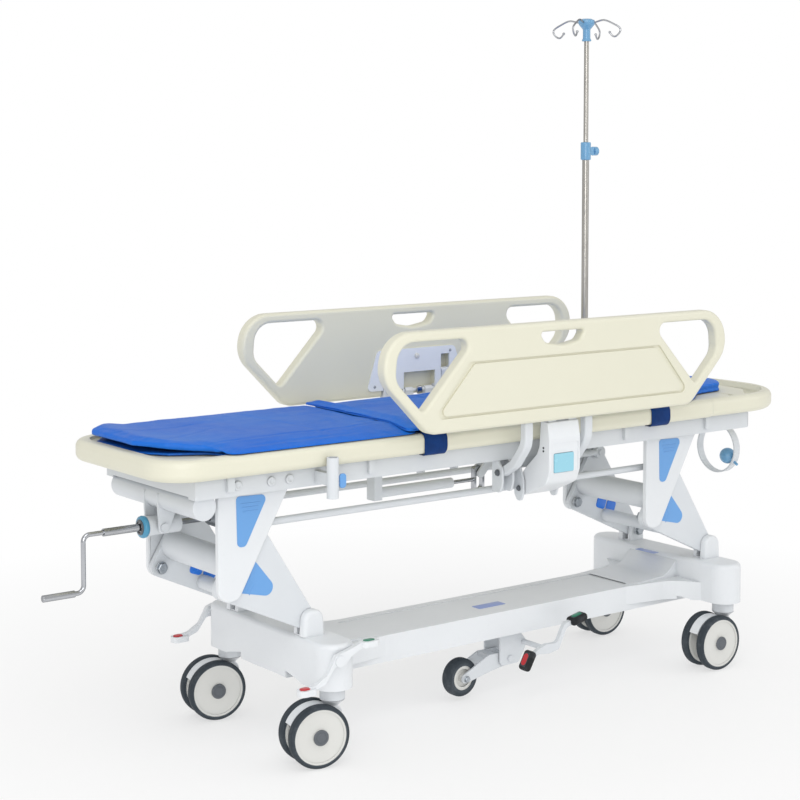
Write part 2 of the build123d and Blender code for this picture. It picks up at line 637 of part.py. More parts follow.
def pole_socket(x, y):
    """Vertical tube that takes a drip pole, on an arm from the side tube."""
    side = 1 if y > 0 else -1
    y0, y1 = sorted((side * (FRAME_HALF_WIDTH - 2), y))
    arm = block(x - 9, x + 9, y0, y1, 662, 690)
    socket = arm + rod_z(POLE_R + 4, 633, 728, x, y)
    return socket - rod_z(POLE_R + RUNNING, 640, 760, x, y)


# ---------------------------------------------------------------- crank


def crank_housing():
    """Bearing tube of the crank screw with a trunnion each side and a flanged front."""
    housing = rod_x(22, COLLAR_X + 10, HOUSING_END_X, 0, CRANK_Z)
    housing = housing + rod_x(24, COLLAR_X - 4, COLLAR_X + 14, 0, CRANK_Z)
    housing = housing + rod_y(TRUNNION_R, -39, 39, TRUNNION_X, CRANK_Z)
    for y0 in (-39, 35):
        housing = housing + rod_y(10, y0, y0 + 4, TRUNNION_X, CRANK_Z)
    housing = housing - rod_x(12, COLLAR_X - 5, COLLAR_X + 3, 0, CRANK_Z)
    return housing - rod_x(10 + RUNNING, COLLAR_X, HOUSING_END_X + 5, 0, CRANK_Z)


def crank_shaft():
    """Screw, sleeve and cranked handle as one turned and bent piece."""
    sleeve = rod_x(9, -1020, COLLAR_X - 8, 0, CRANK_Z) + rod_x(11.5, COLLAR_X - 9, COLLAR_X + 2, 0, CRANK_Z)
    bearing = rod_x(10, COLLAR_X, HOUSING_END_X, 0, CRANK_Z)
    screw = rod_x(SCREW_R, HOUSING_END_X - 1, -628, 0, CRANK_Z)
    rod = bent_rod([(-1010, 0, CRANK_Z), (CRANK_ARM_X, 0, CRANK_Z),
                    (CRANK_ARM_X, 0, CRANK_Z - CRANK_DROP), (GRIP_END_X + 4, 0, CRANK_Z - CRANK_DROP)], 5.5, 16)
    return sleeve + bearing + screw + rod


def crank_grip():
    grip = rod_x(8, GRIP_END_X, CRANK_ARM_X - 22, 0, CRANK_Z - CRANK_DROP)
    grip = fillet(grip.edges().filter_by(GeomType.CIRCLE), 2)
    return grip - rod_x(5.5 + RUNNING, GRIP_END_X + 3.9, CRANK_ARM_X, 0, CRANK_Z - CRANK_DROP)


# ---------------------------------------------------------------- deck and pads
def deck_plan(inset, foot_r, head_r):
    half = DECK_HALF_WIDTH - inset
    return [(DECK_FOOT + inset, -half, foot_r), (DECK_HEAD - inset, -half, head_r),
            (DECK_HEAD - inset, half, head_r), (DECK_FOOT + inset, half, foot_r)]


def deck_outline():
    """Outer edge of the deck: the side walls step in a little where the head loop begins."""
    half = DECK_HALF_WIDTH
    waist = half - HEAD_STEP
    return [
        (DECK_FOOT, -half, 100), (HEAD_STEP_X - 5, -half, 20), (HEAD_STEP_X + 5, -waist, 10),
        (DECK_HEAD, -waist, 200), (DECK_HEAD, waist, 200), (HEAD_STEP_X + 5, waist, 10),
        (HEAD_STEP_X - 5, half, 20), (DECK_FOOT, half, 100),
    ]


def deck_shell():
    """Moulded deck: rounded rim, sunk platform, hand-hold at the head and a bay for the back panel."""
    shell = plan_plate(deck_outline(), DECK_BOTTOM, DECK_TOP)
    shell = fillet(shell.faces().filter_by(Axis.Z).edges(), 17)
    shell = shell - plan_plate(deck_plan(32, 70, 170), PLATFORM_TOP, DECK_TOP + 1)
    shell = shell - plan_plate(deck_plan(26, 76, 176), DECK_BOTTOM - 1, PLATFORM_TOP - PLATFORM_SKIN)
    shell = shell - plan_plate(rectangle(BACK_HINGE_X - 10, BACK_END_X + 4, -200, 200, 6),
                               DECK_BOTTOM, DECK_TOP)
    hold = [
        (912, -182, 12), (975, -182, 30), (1036, -138, 60), (1050, -50, 90), (1050, 50, 90), (1036, 138, 60),
        (975, 182, 30), (912, 182, 12), (992, 104, 50), (1008, 0, 80), (992, -104, 50),
    ]
    return shell - plan_plate(hold, DECK_BOTTOM, DECK_TOP)


def back_panel():
    """Hinged back section with a rolled hinge edge and stiffening ribs below."""
    top = PLATFORM_TOP
    nose = rod_y(8, -196, 196, BACK_HINGE_X, BACK_HINGE_Z)
    panel = plan_plate([
        (BACK_HINGE_X, -196, 0), (BACK_END_X, -196, 60), (BACK_END_X, 196, 60), (BACK_HINGE_X, 196, 0),
    ], top - 12, top)
    panel = panel + nose
    panel = panel & block(0, 1000, -196, 196, BACK_HINGE_Z - 8, top)
    for y in (-120, 0, 120):
        panel = panel + block(BACK_HINGE_X + 40, BACK_END_X - 30, y - 9, y + 9, top - 30, top - 8)
    panel = panel - rod_y(6 + RUNNING, -200, 200, BACK_HINGE_X, BACK_HINGE_Z)
    for y0, y1 in ((-BACK_LUG_Y - 15, -BACK_LUG_Y - 7), (BACK_LUG_Y + 7, BACK_LUG_Y + 15)):
        panel = panel - block(BACK_HINGE_X - 20, BACK_HINGE_X + 17, y0, y1, 700, 760)
    return panel


def back_lever():
    """Steel lever under the back panel that the spring yoke pushes."""
    hinge = (BACK_HINGE_X, BACK_HINGE_Z)
    lever = None
    for y0 in (SPRING_Y - 15, SPRING_Y + 9):
        cheek = hull_plate([(BACK_HINGE_X + 6, BACK_HINGE_Z - 24, 13), (*LEVER_PIN, 11)], y0, y0 + 6)
        cheek = cheek + block(BACK_HINGE_X + 10, BACK_HINGE_X + 150, y0, y0 + 6,
                              BACK_HINGE_Z - 30, BACK_HINGE_Z - 4)
        lever = cheek if lever is None else lever + cheek
    lever = lever + rod_y(6, SPRING_Y - 15, SPRING_Y + 15, *LEVER_PIN)
    return lever


def gas_cylinder():
    z = SPRING_Z
    body = rod_x(13, SPRING_X + 12, SPRING_X + 245, SPRING_Y, z)
    body = fillet(body.edges().filter_by(GeomType.CIRCLE), 2)
    return body - rod_x(5 + RUNNING, SPRING_X + 20, SPRING_X + 250, SPRING_Y, z)


def gas_rod():
    """Spring rod ending in a slotted yoke round the lever pin."""
    pin_x = LEVER_PIN[0]
    rod = rod_x(5, SPRING_X + 24, pin_x - 12, SPRING_Y, SPRING_Z)
    yoke = side_plate(rectangle(pin_x - 17, pin_x + 17, YOKE_BOTTOM - 8, YOKE_TOP + 8, 8),
                      SPRING_Y - 7, SPRING_Y + 7)
    slot = side_plate(rectangle(pin_x - 10, pin_x + 10, YOKE_BOTTOM, YOKE_TOP, 9.9),
                      SPRING_Y - 9, SPRING_Y + 9)
    return rod + (yoke - slot)


def pads():
    """Plain solids of the three cushions."""
    z0 = PAD_BOTTOM
    z1 = PAD_BOTTOM + PAD_THICKNESS
    half = PAD_HALF_WIDTH
    leg = plan_plate([
        (-972, -30, 8), (-896, -140, 20), (-852, -half, 20), (SPLIT_X - 4, -half, 4),
        (SPLIT_X - 4, half, 4), (-900, half, 30), (-972, 150, 20),
    ], z0 + 4, z1)
    seat = plan_plate(rectangle(SPLIT_X + 4, BACK_HINGE_X - 42, -half, half, 4), z0 + 4, z1)
    back = plan_plate([
        (BACK_HINGE_X + 16, -half, 4), (640, -half, 60), (790, -128, 60), (905, -106, 40), (955, -55, 40),
        (955, 55, 40), (905, 106, 40), (790, 128, 60), (640, half, 60), (BACK_HINGE_X + 16, half, 4),
    ], z0 + 4, z1)
    return leg, seat, back


def pad_strap(x):
    """Near strap hanging over the rim: flat on the rim, bent down its side, ending in a point."""
    edge = DECK_HALF_WIDTH
    profile = [
        (-edge + 9, DECK_TOP + 0.6, 0), (-edge - 1, DECK_TOP + 0.6, 9.5), (-edge - 1, DECK_BOTTOM - 22, 0),
        (-edge - 4, DECK_BOTTOM - 22, 0), (-edge - 4, DECK_TOP + 3.4, 12), (-edge + 9, DECK_TOP + 3.4, 0),
    ]
    strap = section_bar(profile, x - STRAP_HALF, x + STRAP_HALF)
    point = side_plate([
        (x - STRAP_HALF - 1, DECK_BOTTOM - 4, 0), (x - 8, DECK_BOTTOM - 30, 0),
        (x + STRAP_HALF + 1, DECK_BOTTOM - 4, 0),
        (x + STRAP_HALF + 1, DECK_TOP + 10, 0), (x - STRAP_HALF - 1, DECK_TOP + 10, 0),
    ], -edge - 10, -edge + 30)
    return strap & point


# ---------------------------------------------------------------- side rails
def rail_panel():
    """Near rail: blow-moulded panel with two grab loops, a hand-hold and a raised field."""
    c = RAIL_CENTRE_X
    y0 = -RAIL_Y - RAIL_THICK / 2
    y1 = -RAIL_Y + RAIL_THICK / 2
    body = side_plate([
        (c - 438, RAIL_BOTTOM, 50), (c + 438, RAIL_BOTTOM, 50), (c + 575, 899, 75), (c + 560, RAIL_TOP, 80),
        (c - 560, RAIL_TOP, 80), (c - 575, 899, 75),
    ], y0, y1)
    for side in (-1, 1):
        body = body - side_plate([
            (c + side * 296, 984, 20), (c + side * 530, 984, 50), (c + side * 537, 896, 42),
            (c + side * 457, 816, 14),
        ], y0 - 1, y1 + 1)
    g = GRIP_CENTRE_X
    body = body - side_plate([
        (g - 76, 985, 7), (g + 76, 985, 7), (g + 58, 959, 22), (g, 949, 80), (g - 58, 959, 22),
    ], y0 - 1, y1 + 1)
    body = fillet(body.faces().filter_by(Axis.Y).edges(), RAIL_EDGE_R)
    field = side_plate([(c - 318, 928, 14), (c + 318, 928, 14), (c + 430, 797, 14), (c - 430, 797, 14)],
                       y0 - 1, y0 + 4)
    raised = side_plate([(c - 304, 922, 12), (c + 304, 922, 12), (c + 415, 803, 12), (c - 415, 803, 12)],
                        y0, y0 + 5)
    body = (body - field) + raised
    for x0, x1, top in rail_slots(POCKET_HALF):
        body = body - block(x0, x1, -POCKET_Y, y1 + 1, RAIL_BOTTOM - 1, top)
    return body


def rail_slots(half):
    """x range and top of the slots for the two arms and the lock; half is the arm slot's half width."""
    slack = half - ARM_WIDTH / 2
    slots = [(x - half, x + half, ARM_SLOT_TOP) for x in ARM_X]
    slots.append((LOCK_X[0] - slack - 1, LOCK_X[1] + slack + 1, LOCK_SLOT_TOP))
    return slots


def rail_plate():
    """Near hinge plate on the inner face of the rail, with cheeks and pins in the pockets."""
    y1 = -RAIL_Y + RAIL_THICK / 2
    y_head, z_head = ARM_HEAD
    plate = side_plate([(-72, 780, 12), (268, 780, 12), (232, 890, 16), (-36, 890, 16)], y1, y1 + 4)
    for x0, x1, top in rail_slots(15):
        plate = plate - block(x0, x1, y1 - 1, y1 + 5, 770, top)
        pin_z = z_head if top == ARM_SLOT_TOP else LOCK_HEAD[1]
        cheek = [(y1 + 3, pin_z - 9, 0), (y1 + 3, pin_z + 16, 0), (-y_head - 10, pin_z + 9, 8),
                 (-y_head - 10, pin_z - 9, 8)]
        plate = plate + section_bar(cheek, x0 - 2.2, x0 + 0.8) + section_bar(cheek, x1 - 0.8, x1 + 2.2)
        plate = plate + rod_x(5, x0 - 2.2, x1 + 2.2, -y_head, pin_z)
    return plate


def rail_arms():
    """Near pair of curved arms between the frame bracket and the rail pockets."""
    arms = []
    half = ARM_WIDTH / 2
    y_foot, z_foot = ARM_FOOT
    y_head, z_head = ARM_HEAD
    outer = -y_head - ARM_THICK / 2
    inner = -y_head + ARM_THICK / 2
    for x in ARM_X:
        curve = section_bar([
            (outer, z_head, 0), (outer, 701, 60), (-257.5, 641.7, 60), (-212.5, 615.5, 0),
            (-201.5, 634.5, 0), (-242.6, 658.4, 45), (inner, 708.7, 45), (inner, z_head, 0),
        ], x - half, x + half)
        curve = fillet(curve.edges().filter_by(lambda e: e.center().X < x - half + 0.1
                                               or e.center().X > x + half - 0.1), 5)
        arm = curve + rod_x(ARM_THICK / 2, x - half, x + half, -y_foot, z_foot)
        arm = arm + rod_x(ARM_THICK / 2 - 1, x - half, x + half, -y_head, z_head)
        arm = arm - rod_x(6 + RUNNING, x - half - 1, x + half + 1, -y_foot, z_foot)
        arm = arm - rod_x(5 + RUNNING, x - half - 1, x + half + 1, -y_head, z_head)
        arms.append(arm)
    return arms


def rail_lock():
    """Near lock link: moulded cover with a stepped front, two knuckles and a pocket for the button."""
    y_lock, z_lock = LOCK_FOOT
    y_head, z_head = LOCK_HEAD
    x0, x1 = LOCK_X
    cover = section_bar([
        (-276, 756, 3), (-303, 756, 4), (-LOCK_FRONT, 714, 14), (-LOCK_FRONT, 632, 22), (-298, 598, 24),
        (-214, 560, 10), (-196, 566, 8), (-194, 590, 10), (-211, 622, 16), (-226, 638, 20),
        (-261, 670, 20), (-271, 692, 16),
    ], x0, x1)
    cover = fillet(cover.faces().filter_by(Axis.X).edges(), 3)
    cover = cover - side_plate(rectangle(x0 + 7, x1 - 7, 600, 702, 5), -LOCK_FRONT - 2, -LOCK_FRONT + 1.5)
    for knuckle_x in (x0 + 5, x1 - 31):
        cover = cover + block(knuckle_x, knuckle_x + 26, -y_head - 8, -y_head + 8, 750, z_head)
        cover = cover + rod_x(9, knuckle_x, knuckle_x + 26, -y_head, z_head)
    cover = cover - rod_x(5 + RUNNING, x0, x1, -y_head, z_head)
    pocket = rectangle(BUTTON_X[0] - 1, BUTTON_X[1] + 1, BUTTON_Z[0] - 1, BUTTON_Z[1] + 1, 4)
    cover = cover - side_plate(pocket, -LOCK_FRONT - 5, -LOCK_FRONT + 10 + BUTTON_TRAVEL)
    return cover - rod_x(5 + RUNNING, x0 - 1, x1 + 1, -y_lock, z_lock)


def rail_button():
    button = side_plate(rectangle(*BUTTON_X, *BUTTON_Z, 3), -LOCK_FRONT - 1.5, -LOCK_FRONT + 9)
    return fillet(button.faces().sort_by(Axis.Y)[0].edges(), 1.5)


# ---------------------------------------------------------------- drip pole


def pole_parts():
    x, y = POLE_XY
    lower = rod_z(POLE_R, 640.5, CLAMP_Z[0] + 20, x, y)
    lower = lower - rod_z(UPPER_R + RUNNING, 815, CLAMP_Z[1], x, y)
    clamp = rod_z(15, CLAMP_Z[0], CLAMP_Z[1], x, y)
    clamp = fillet(clamp.edges().filter_by(GeomType.CIRCLE), 3)
    clamp = clamp + side_plate(rectangle(x + 10, x + 30, 1420, 1444, 4), y - 8, y + 8)
    clamp = clamp + rod_x(13, x + 28, x + 42, y, 1432)
    clamp = clamp - rod_z(POLE_R, CLAMP_Z[0] - 1, CLAMP_Z[0] + 20, x, y)
    clamp = clamp - rod_z(UPPER_R + RUNNING, CLAMP_Z[0], CLAMP_Z[1] + 1, x, y)
    upper = rod_z(UPPER_R, 1105, HUB_Z[1] - 12, x, y)
    profile = make_face(Polyline((0, 0), (13, 0), (14, 3), (11, 9), (11, 34), (22, 47), (25, 54), (23, 61),
                                 (14, 65), (0, 66), (0, 0)))
    hub = Pos(x, y, HUB_Z[0]) * revolve(Plane.XZ * profile, Axis.Z)
    hub = hub - rod_z(UPPER_R, HUB_Z[0] - 1, HUB_Z[1] - 12, x, y)
    hooks = []
    for turn in (25, 115, 205, 295):
        path = Spline((20, 53), (52, 60), (84, 48), (105, 30), (92, 13), (72, 24), tangents=((1, 0.2), (-0.6, 1)))
        path = Plane.XZ * path
        start = Plane(origin=path @ 0, z_dir=path % 0)
        hook = sweep(start * Circle(2.6), path=path)
        tip = Pos(*(path @ 1)) * Sphere(4)
        hook = Pos(x, y, HUB_Z[0]) * Rot(0, 0, turn) * (hook + tip)
        hooks.append(hook - hub)
    return lower, clamp, upper, hub, hooks


# ---------------------------------------------------------------- bottle ring


def bottle_ring():
    """Band that carries a gas bottle lying under the head end, on a strap from the frame."""
    x, y, z = RING_CENTRE
    half = RING_WIDTH / 2
    band = rod_x(RING_R, x - half, x + half, y, z)
    strap = block(FRAME_HALF_LENGTH, x + half, y - 14, y + 14, z + RING_R - 3, z + RING_R + 4)
    riser = block(FRAME_HALF_LENGTH, FRAME_HALF_LENGTH + 5, y - 14, y + 14, z + RING_R - 3, FRAME_TOP - 4)
    ring = band + strap + riser - rod_x(RING_R - 4, x - half - 1, x + half + 1, y, z)
    return ring - pad_screw(PAD_SCREW_R + RUNNING, 30)


def pad_screw(radius, length):
    """Screw along the pad's line of travel, starting outside the band."""
    start = Vector(*RING_CENTRE) - PAD_TOWARD * (RING_R + 12)
    return Solid.make_cylinder(radius, length, Plane(origin=start, z_dir=PAD_TOWARD))


def bottle_pad():
    pad = Solid.make_cone(7, 23, 26, Plane((0, 0, 0))) + Pos(0, 0, 26) * Sphere(23)
    seat = Vector(*RING_CENTRE) - PAD_TOWARD * (RING_R - 5)
    return Plane(origin=seat, z_dir=PAD_TOWARD) * pad + pad_screw(PAD_SCREW_R, 20)


# ---------------------------------------------------------------- write the nodes
def write_base():
    save("base_cover", base_cover())
    save("base_frame", base_frame())
    posts = both_sides(pivot_post())
    save("pivot_posts", *posts, *[shifted(post, 1) for post in posts])
    for end, castor_x, swivel in zip(("foot", "head"), CASTOR_X, SWIVEL):
        for side, castor_y in (("near", -CASTOR_Y), ("far", CASTOR_Y)):
            fork, rims, tyres = castor_parts(castor_x, castor_y, swivel)
            save(f"castor_fork_{end}_{side}", fork)
            save(f"castor_rims_{end}_{side}", rims)
            save(f"castor_tyres_{end}_{side}", *tyres)
    pedal = brake_pedal()
    save("brake_pedal_near", pedal)
    save("brake_pedal_far", far(pedal))
    save("steer_pedal", steer_pedal())
    save("steer_pads", *steer_pads())
    save("steer_arm", steer_arm())
    hub, tyre = steer_wheel()
    save("steer_hub", hub)
    save("steer_tyre", tyre)


def write_lift():
    body = rocker()
    foot_bar = rod_y(PIN_R, NUT_HALF - 12, ROCKER_IN, *APEX_PIVOT)
    near_pin = apex_bars()
    save("foot_rocker", body + foot_bar + far(foot_bar))
    save("head_rocker", shifted(body + near_pin + far(near_pin), 1))
    inserts = [rocker_insert(-ROCKER_OUT - 0.5), rocker_insert(ROCKER_OUT + 0.5 - INSERT_DEPTH)]
    save("foot_rocker_inserts", *inserts)
    save("head_rocker_inserts", *[shifted(piece, 1) for piece in inserts])
    save("link_rods", *link_rods())
    save("lift_nut", lift_nut())


def write_deck():
    save("main_frame", main_frame())
    covers = both_sides(leg_cover())
    save("leg_covers", *covers, *[shifted(cover, 1) for cover in covers])
    inserts = both_sides(leg_insert())
    save("leg_inserts", *inserts, *[shifted(piece, 1) for piece in inserts])
    save("deck_shell", deck_shell())
    leg, seat, back = pads()
    save("leg_pad", leg)
    save("seat_pad", seat)
    save("back_pad", back)
    straps = []
    for x in STRAP_X:
        straps.extend(both_sides(pad_strap(x)))
    save("pad_straps", *straps)
    save("back_panel", back_panel())
    save("back_lever", back_lever())
    save("gas_cylinder", gas_cylinder())
    save("gas_rod", gas_rod())
    save("bottle_ring", bottle_ring())
    save("bottle_pad", bottle_pad())
    save("crank_housing", crank_housing())
    save("crank_shaft", crank_shaft())
    save("crank_grip", crank_grip())


def write_rails():
    pieces = {
        "rail_panel": [rail_panel()], "rail_plate": [rail_plate()], "rail_arms": rail_arms(),
        "rail_lock": [rail_lock()], "rail_button": [rail_button()],
    }
    for name, shapes in pieces.items():
        save(f"{name}_near", *shapes)
        save(f"{name}_far", *[far(shape) for shape in shapes])


def write_pole():
    lower, clamp, upper, hub, hooks = pole_parts()
    save("pole_lower", lower)
    save("pole_clamp", clamp)
    save("pole_upper", upper)
    save("pole_hub", hub)
    save("pole_hooks", *hooks)


write_base()
write_lift()
write_deck()
write_rails()
write_pole()
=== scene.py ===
"""Looks of the stretcher trolley: finishes, soft cushions and small fittings around the CAD frame.

Metres, +Z up, +X towards the head end, -Y the near side, the same frame as the CAD model.
"""
import json
import math
from collections import namedtuple

import bmesh
import bpy
from mathutils import Matrix, Vector, noise


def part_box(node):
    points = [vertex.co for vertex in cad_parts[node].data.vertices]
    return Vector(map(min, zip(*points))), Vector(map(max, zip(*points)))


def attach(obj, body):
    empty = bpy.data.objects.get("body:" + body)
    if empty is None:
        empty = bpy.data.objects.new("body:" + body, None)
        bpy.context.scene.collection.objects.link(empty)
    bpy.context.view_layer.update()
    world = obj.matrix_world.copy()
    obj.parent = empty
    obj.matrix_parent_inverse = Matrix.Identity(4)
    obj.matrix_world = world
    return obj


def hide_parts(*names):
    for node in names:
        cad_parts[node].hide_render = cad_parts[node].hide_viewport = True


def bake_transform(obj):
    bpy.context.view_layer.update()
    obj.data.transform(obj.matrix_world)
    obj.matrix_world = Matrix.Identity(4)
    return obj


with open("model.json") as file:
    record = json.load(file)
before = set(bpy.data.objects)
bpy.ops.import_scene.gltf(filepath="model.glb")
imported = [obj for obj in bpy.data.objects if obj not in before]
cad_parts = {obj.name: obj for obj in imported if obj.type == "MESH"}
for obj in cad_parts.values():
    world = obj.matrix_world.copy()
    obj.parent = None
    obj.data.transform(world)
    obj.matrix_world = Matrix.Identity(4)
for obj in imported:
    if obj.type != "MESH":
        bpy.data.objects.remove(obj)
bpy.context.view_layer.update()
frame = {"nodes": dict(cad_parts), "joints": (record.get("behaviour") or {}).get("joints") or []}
NODES = frame["nodes"]
JOINTS = {joint["name"]: joint for joint in frame["joints"]}
SIDES = {"near": -1, "far": 1}
UP = (0, 0, 1)
ALONG = (1, 0, 0)                                  # towards the head end
ACROSS = (0, 1, 0)                                 # towards the far side


# ---------------------------------------------------------------- materials
def linear(*srgb):
    """Linear colour from 0-255 sRGB values."""
    return tuple(((c / 255 + 0.055) / 1.055) ** 2.4 if c > 10 else c / 255 / 12.92 for c in srgb) + (1.0,)


class Finish:
    """One procedural material: a principled shader with helpers that chain texture nodes."""

    def __init__(self, name, colour, roughness, **shader):
        self.material = bpy.data.materials.new(name)
        self.material.use_nodes = True
        self.tree = self.material.node_tree
        self.shader = self.tree.nodes["Principled BSDF"]
        self.place = self.add("ShaderNodeTexCoord").outputs["Object"]
        self.normal = None
        self.colour = colour
        self.set("Base Color", colour)
        self.set("Roughness", roughness)
        for key, value in shader.items():
            self.set(key.replace("_", " "), value)

    def feed(self, socket, value):
        """Links another node's output to the socket, or gives the socket a plain value."""
        if isinstance(value, bpy.types.NodeSocket):
            self.tree.links.new(value, socket)
        else:
            socket.default_value = value

    def set(self, key, value):
        self.feed(self.shader.inputs[key], value)

    def add(self, kind, feeds=(), **settings):
        node = self.tree.nodes.new(kind)
        for key, value in settings.items():
            setattr(node, key, value)
        for key, value in dict(feeds).items():
            self.feed(node.inputs[key], value)
        return node

    def stretched(self, scale):
        return self.add("ShaderNodeMapping", {"Vector": self.place, "Scale": scale}).outputs["Vector"]

    def noise(self, scale, detail=3.0, roughness=0.5, at=None):
        feeds = {"Vector": at or self.place, "Scale": scale, "Detail": detail, "Roughness": roughness}
        return self.add("ShaderNodeTexNoise", feeds).outputs["Fac"]

    def waves(self, scale, direction, distortion=0.0):
        feeds = {"Vector": self.place, "Scale": scale, "Distortion": distortion, "Detail": 1.0}
        return self.add("ShaderNodeTexWave", feeds, bands_direction=direction).outputs["Fac"]

    def remap(self, value, low, high, to_low=0.0, to_high=1.0):
        feeds = {0: value, 1: low, 2: high, 3: to_low, 4: to_high}
        return self.add("ShaderNodeMapRange", feeds).outputs[0]

    def math(self, operation, a, b=0.0):
        return self.add("ShaderNodeMath", {0: a, 1: b}, operation=operation).outputs[0]

    def tint(self, factor, colour):
        """Mixes a colour over what is there by the factor."""
        feeds = {0: factor, 6: self.colour, 7: colour}
        self.colour = self.add("ShaderNodeMix", feeds, data_type="RGBA").outputs[2]
        self.set("Base Color", self.colour)

    def bump(self, height, distance, strength=1.0):
        feeds = {"Height": height, "Distance": distance, "Strength": strength}
        if self.normal:
            feeds["Normal"] = self.normal
        self.normal = self.add("ShaderNodeBump", feeds).outputs["Normal"]
        self.set("Normal", self.normal)

    def vary_roughness(self, factor, low, high):
        self.set("Roughness", self.remap(factor, 0.0, 1.0, low, high))

    def paint_crevice_shade(self, colour, distance, amount):
        """Painted shade where surfaces meet: the colour darkens where ambient occlusion finds other surfaces
        close by.
        """
        ao = self.add("ShaderNodeAmbientOcclusion", {"Distance": distance}, samples=4)
        self.tint(self.remap(ao.outputs["AO"], 0.15, 0.75, amount, 0.0), colour)

    def edges(self, colour, amount):
        """A lighter or darker line along convex corners."""
        point = self.add("ShaderNodeNewGeometry").outputs["Pointiness"]
        self.tint(self.remap(point, 0.52, 0.6, 0.0, amount), colour)


def moulded(name, colour, roughness, peel=0.00012, coat=0.15, shade=(120, 126, 132)):
    """Injection-moulded plastic: faint colour drift, fine orange peel, shade in the corners."""
    f = Finish(name, linear(*colour), roughness, Coat_Weight=coat, Coat_Roughness=0.12)
    f.set("Specular IOR Level", 0.5)
    mottle = 0.04
    f.tint(f.remap(f.noise(6.0, 4.0), 0.35, 0.7, 0.0, mottle), linear(*shade))
    f.tint(f.remap(f.noise(90.0, 5.0, 0.65), 0.58, 0.8, 0.0, mottle * 1.4), linear(*shade))
    f.vary_roughness(f.noise(24.0, 5.0, 0.6), roughness - 0.08, roughness + 0.1)
    f.bump(f.noise(420.0, 2.0, 0.4), peel, 0.35)
    f.bump(f.noise(55.0, 3.0), 0.0006, 0.08)
    f.paint_crevice_shade(linear(*shade), 0.02, 0.35)
    return f


def powder_coat(name, colour, roughness):
    """Powder-coated steel: close orange peel with a soft gloss and shade in the corners."""
    f = Finish(name, linear(*colour), roughness, Coat_Weight=0.25, Coat_Roughness=0.2)
    f.tint(f.remap(f.noise(9.0, 5.0, 0.6), 0.4, 0.75, 0.0, 0.07), linear(160, 165, 170))
    f.vary_roughness(f.noise(40.0, 4.0), roughness - 0.06, roughness + 0.12)
    f.bump(f.noise(650.0, 3.0, 0.55), 0.00025, 0.45)
    f.paint_crevice_shade(linear(104, 108, 114), 0.03, 0.45)
    return f


def fabric(name, colour, deep, pale):
    """Coated nylon: a close weave, soft sheen, random paler patches of painted sheen and painted shade,
    deeper in its folds.
    """
    f = Finish(name, linear(*colour), 0.5, Sheen_Weight=0.06, Sheen_Roughness=0.4, Specular_IOR_Level=0.35)
    f.set("Sheen Tint", linear(90, 150, 235))
    # Painted sheen: random patches tinted towards the pale, lit blue.
    f.tint(f.remap(f.noise(5.0, 4.0, 0.55), 0.4, 0.75, 0.0, 0.3), linear(*pale))
    # Painted shade: deep blue where the cloth folds and meets other surfaces.
    f.paint_crevice_shade(linear(*deep), 0.02, 0.85)
    f.tint(f.remap(f.noise(160.0, 3.0), 0.5, 0.8, 0.0, 0.12), linear(*deep))
    warp = f.waves(340.0, "X", 0.6)
    weft = f.waves(340.0, "Y", 0.6)
    f.bump(f.math("MULTIPLY", warp, weft), 0.00022, 0.5)
    f.bump(f.noise(9.0, 3.0, 0.5, at=f.stretched((1.0, 2.4, 1.0))), 0.008, 0.5)
    f.bump(f.noise(26.0, 4.0, 0.6), 0.0022, 0.3)
    f.vary_roughness(f.noise(30.0, 4.0), 0.36, 0.52)
    return f


def webbing(name, colour, deep):
    """Woven strap: ribs across the width and a fine diagonal twill."""
    f = Finish(name, linear(*colour), 0.6, Specular_IOR_Level=0.2)
    f.tint(f.remap(f.noise(30.0, 4.0), 0.4, 0.7, 0.0, 0.4), linear(*deep))
    ribs = f.waves(260.0, "X", 0.3)
    twill = f.waves(420.0, "DIAGONAL", 0.5)
    f.bump(f.math("ADD", f.math("MULTIPLY", ribs, 0.7), twill), 0.0003, 0.6)
    # Painted shade: darker in the grooves between the ribs.
    f.tint(f.remap(ribs, 0.0, 0.5, 0.35, 0.0), linear(*deep))
    # Painted shade where the strap meets other surfaces.
    f.paint_crevice_shade(linear(*deep), 0.015, 0.6)
    return f


def rubber(name, colour, roughness=0.72):
    """Tyre and pad rubber with a dusty bloom."""
    f = Finish(name, linear(*colour), roughness, Specular_IOR_Level=0.4)
    f.tint(f.remap(f.noise(35.0, 6.0, 0.65), 0.5, 0.8, 0.0, 0.3), linear(118, 122, 128))
    f.bump(f.noise(900.0, 3.0, 0.6), 0.0002, 0.5)
    f.vary_roughness(f.noise(60.0, 4.0), roughness - 0.1, roughness + 0.12)
    f.edges(linear(100, 108, 116), 0.35)
    return f


def bright_metal(name, colour, roughness, stretch, depth=0.00004, dark=0.6):
    """Plated or brushed metal: long scratches along one direction, faint cloudy patches, a painted dark
    reflection towards grazing angles and painted shade in the corners.
    """
    f = Finish(name, linear(*colour), roughness, Metallic=1.0)
    lines = f.noise(90.0, 5.0, 0.7, at=f.stretched(stretch))
    f.vary_roughness(lines, roughness * 0.7, roughness * 1.5)
    f.tint(f.remap(f.noise(18.0, 4.0), 0.45, 0.75, 0.0, 0.3), linear(*[c * 0.72 for c in colour]))
    f.bump(lines, depth, 0.35)
    # Painted reflection: the colour darkens towards grazing angles.
    rim = f.add("ShaderNodeLayerWeight", {"Blend": 0.42}).outputs["Facing"]
    f.tint(f.remap(rim, 0.25, 0.8, 0.0, dark), linear(52, 54, 58))
    # Painted shade in the corners.
    f.paint_crevice_shade(linear(60, 60, 62), 0.01, 0.5)
    return f


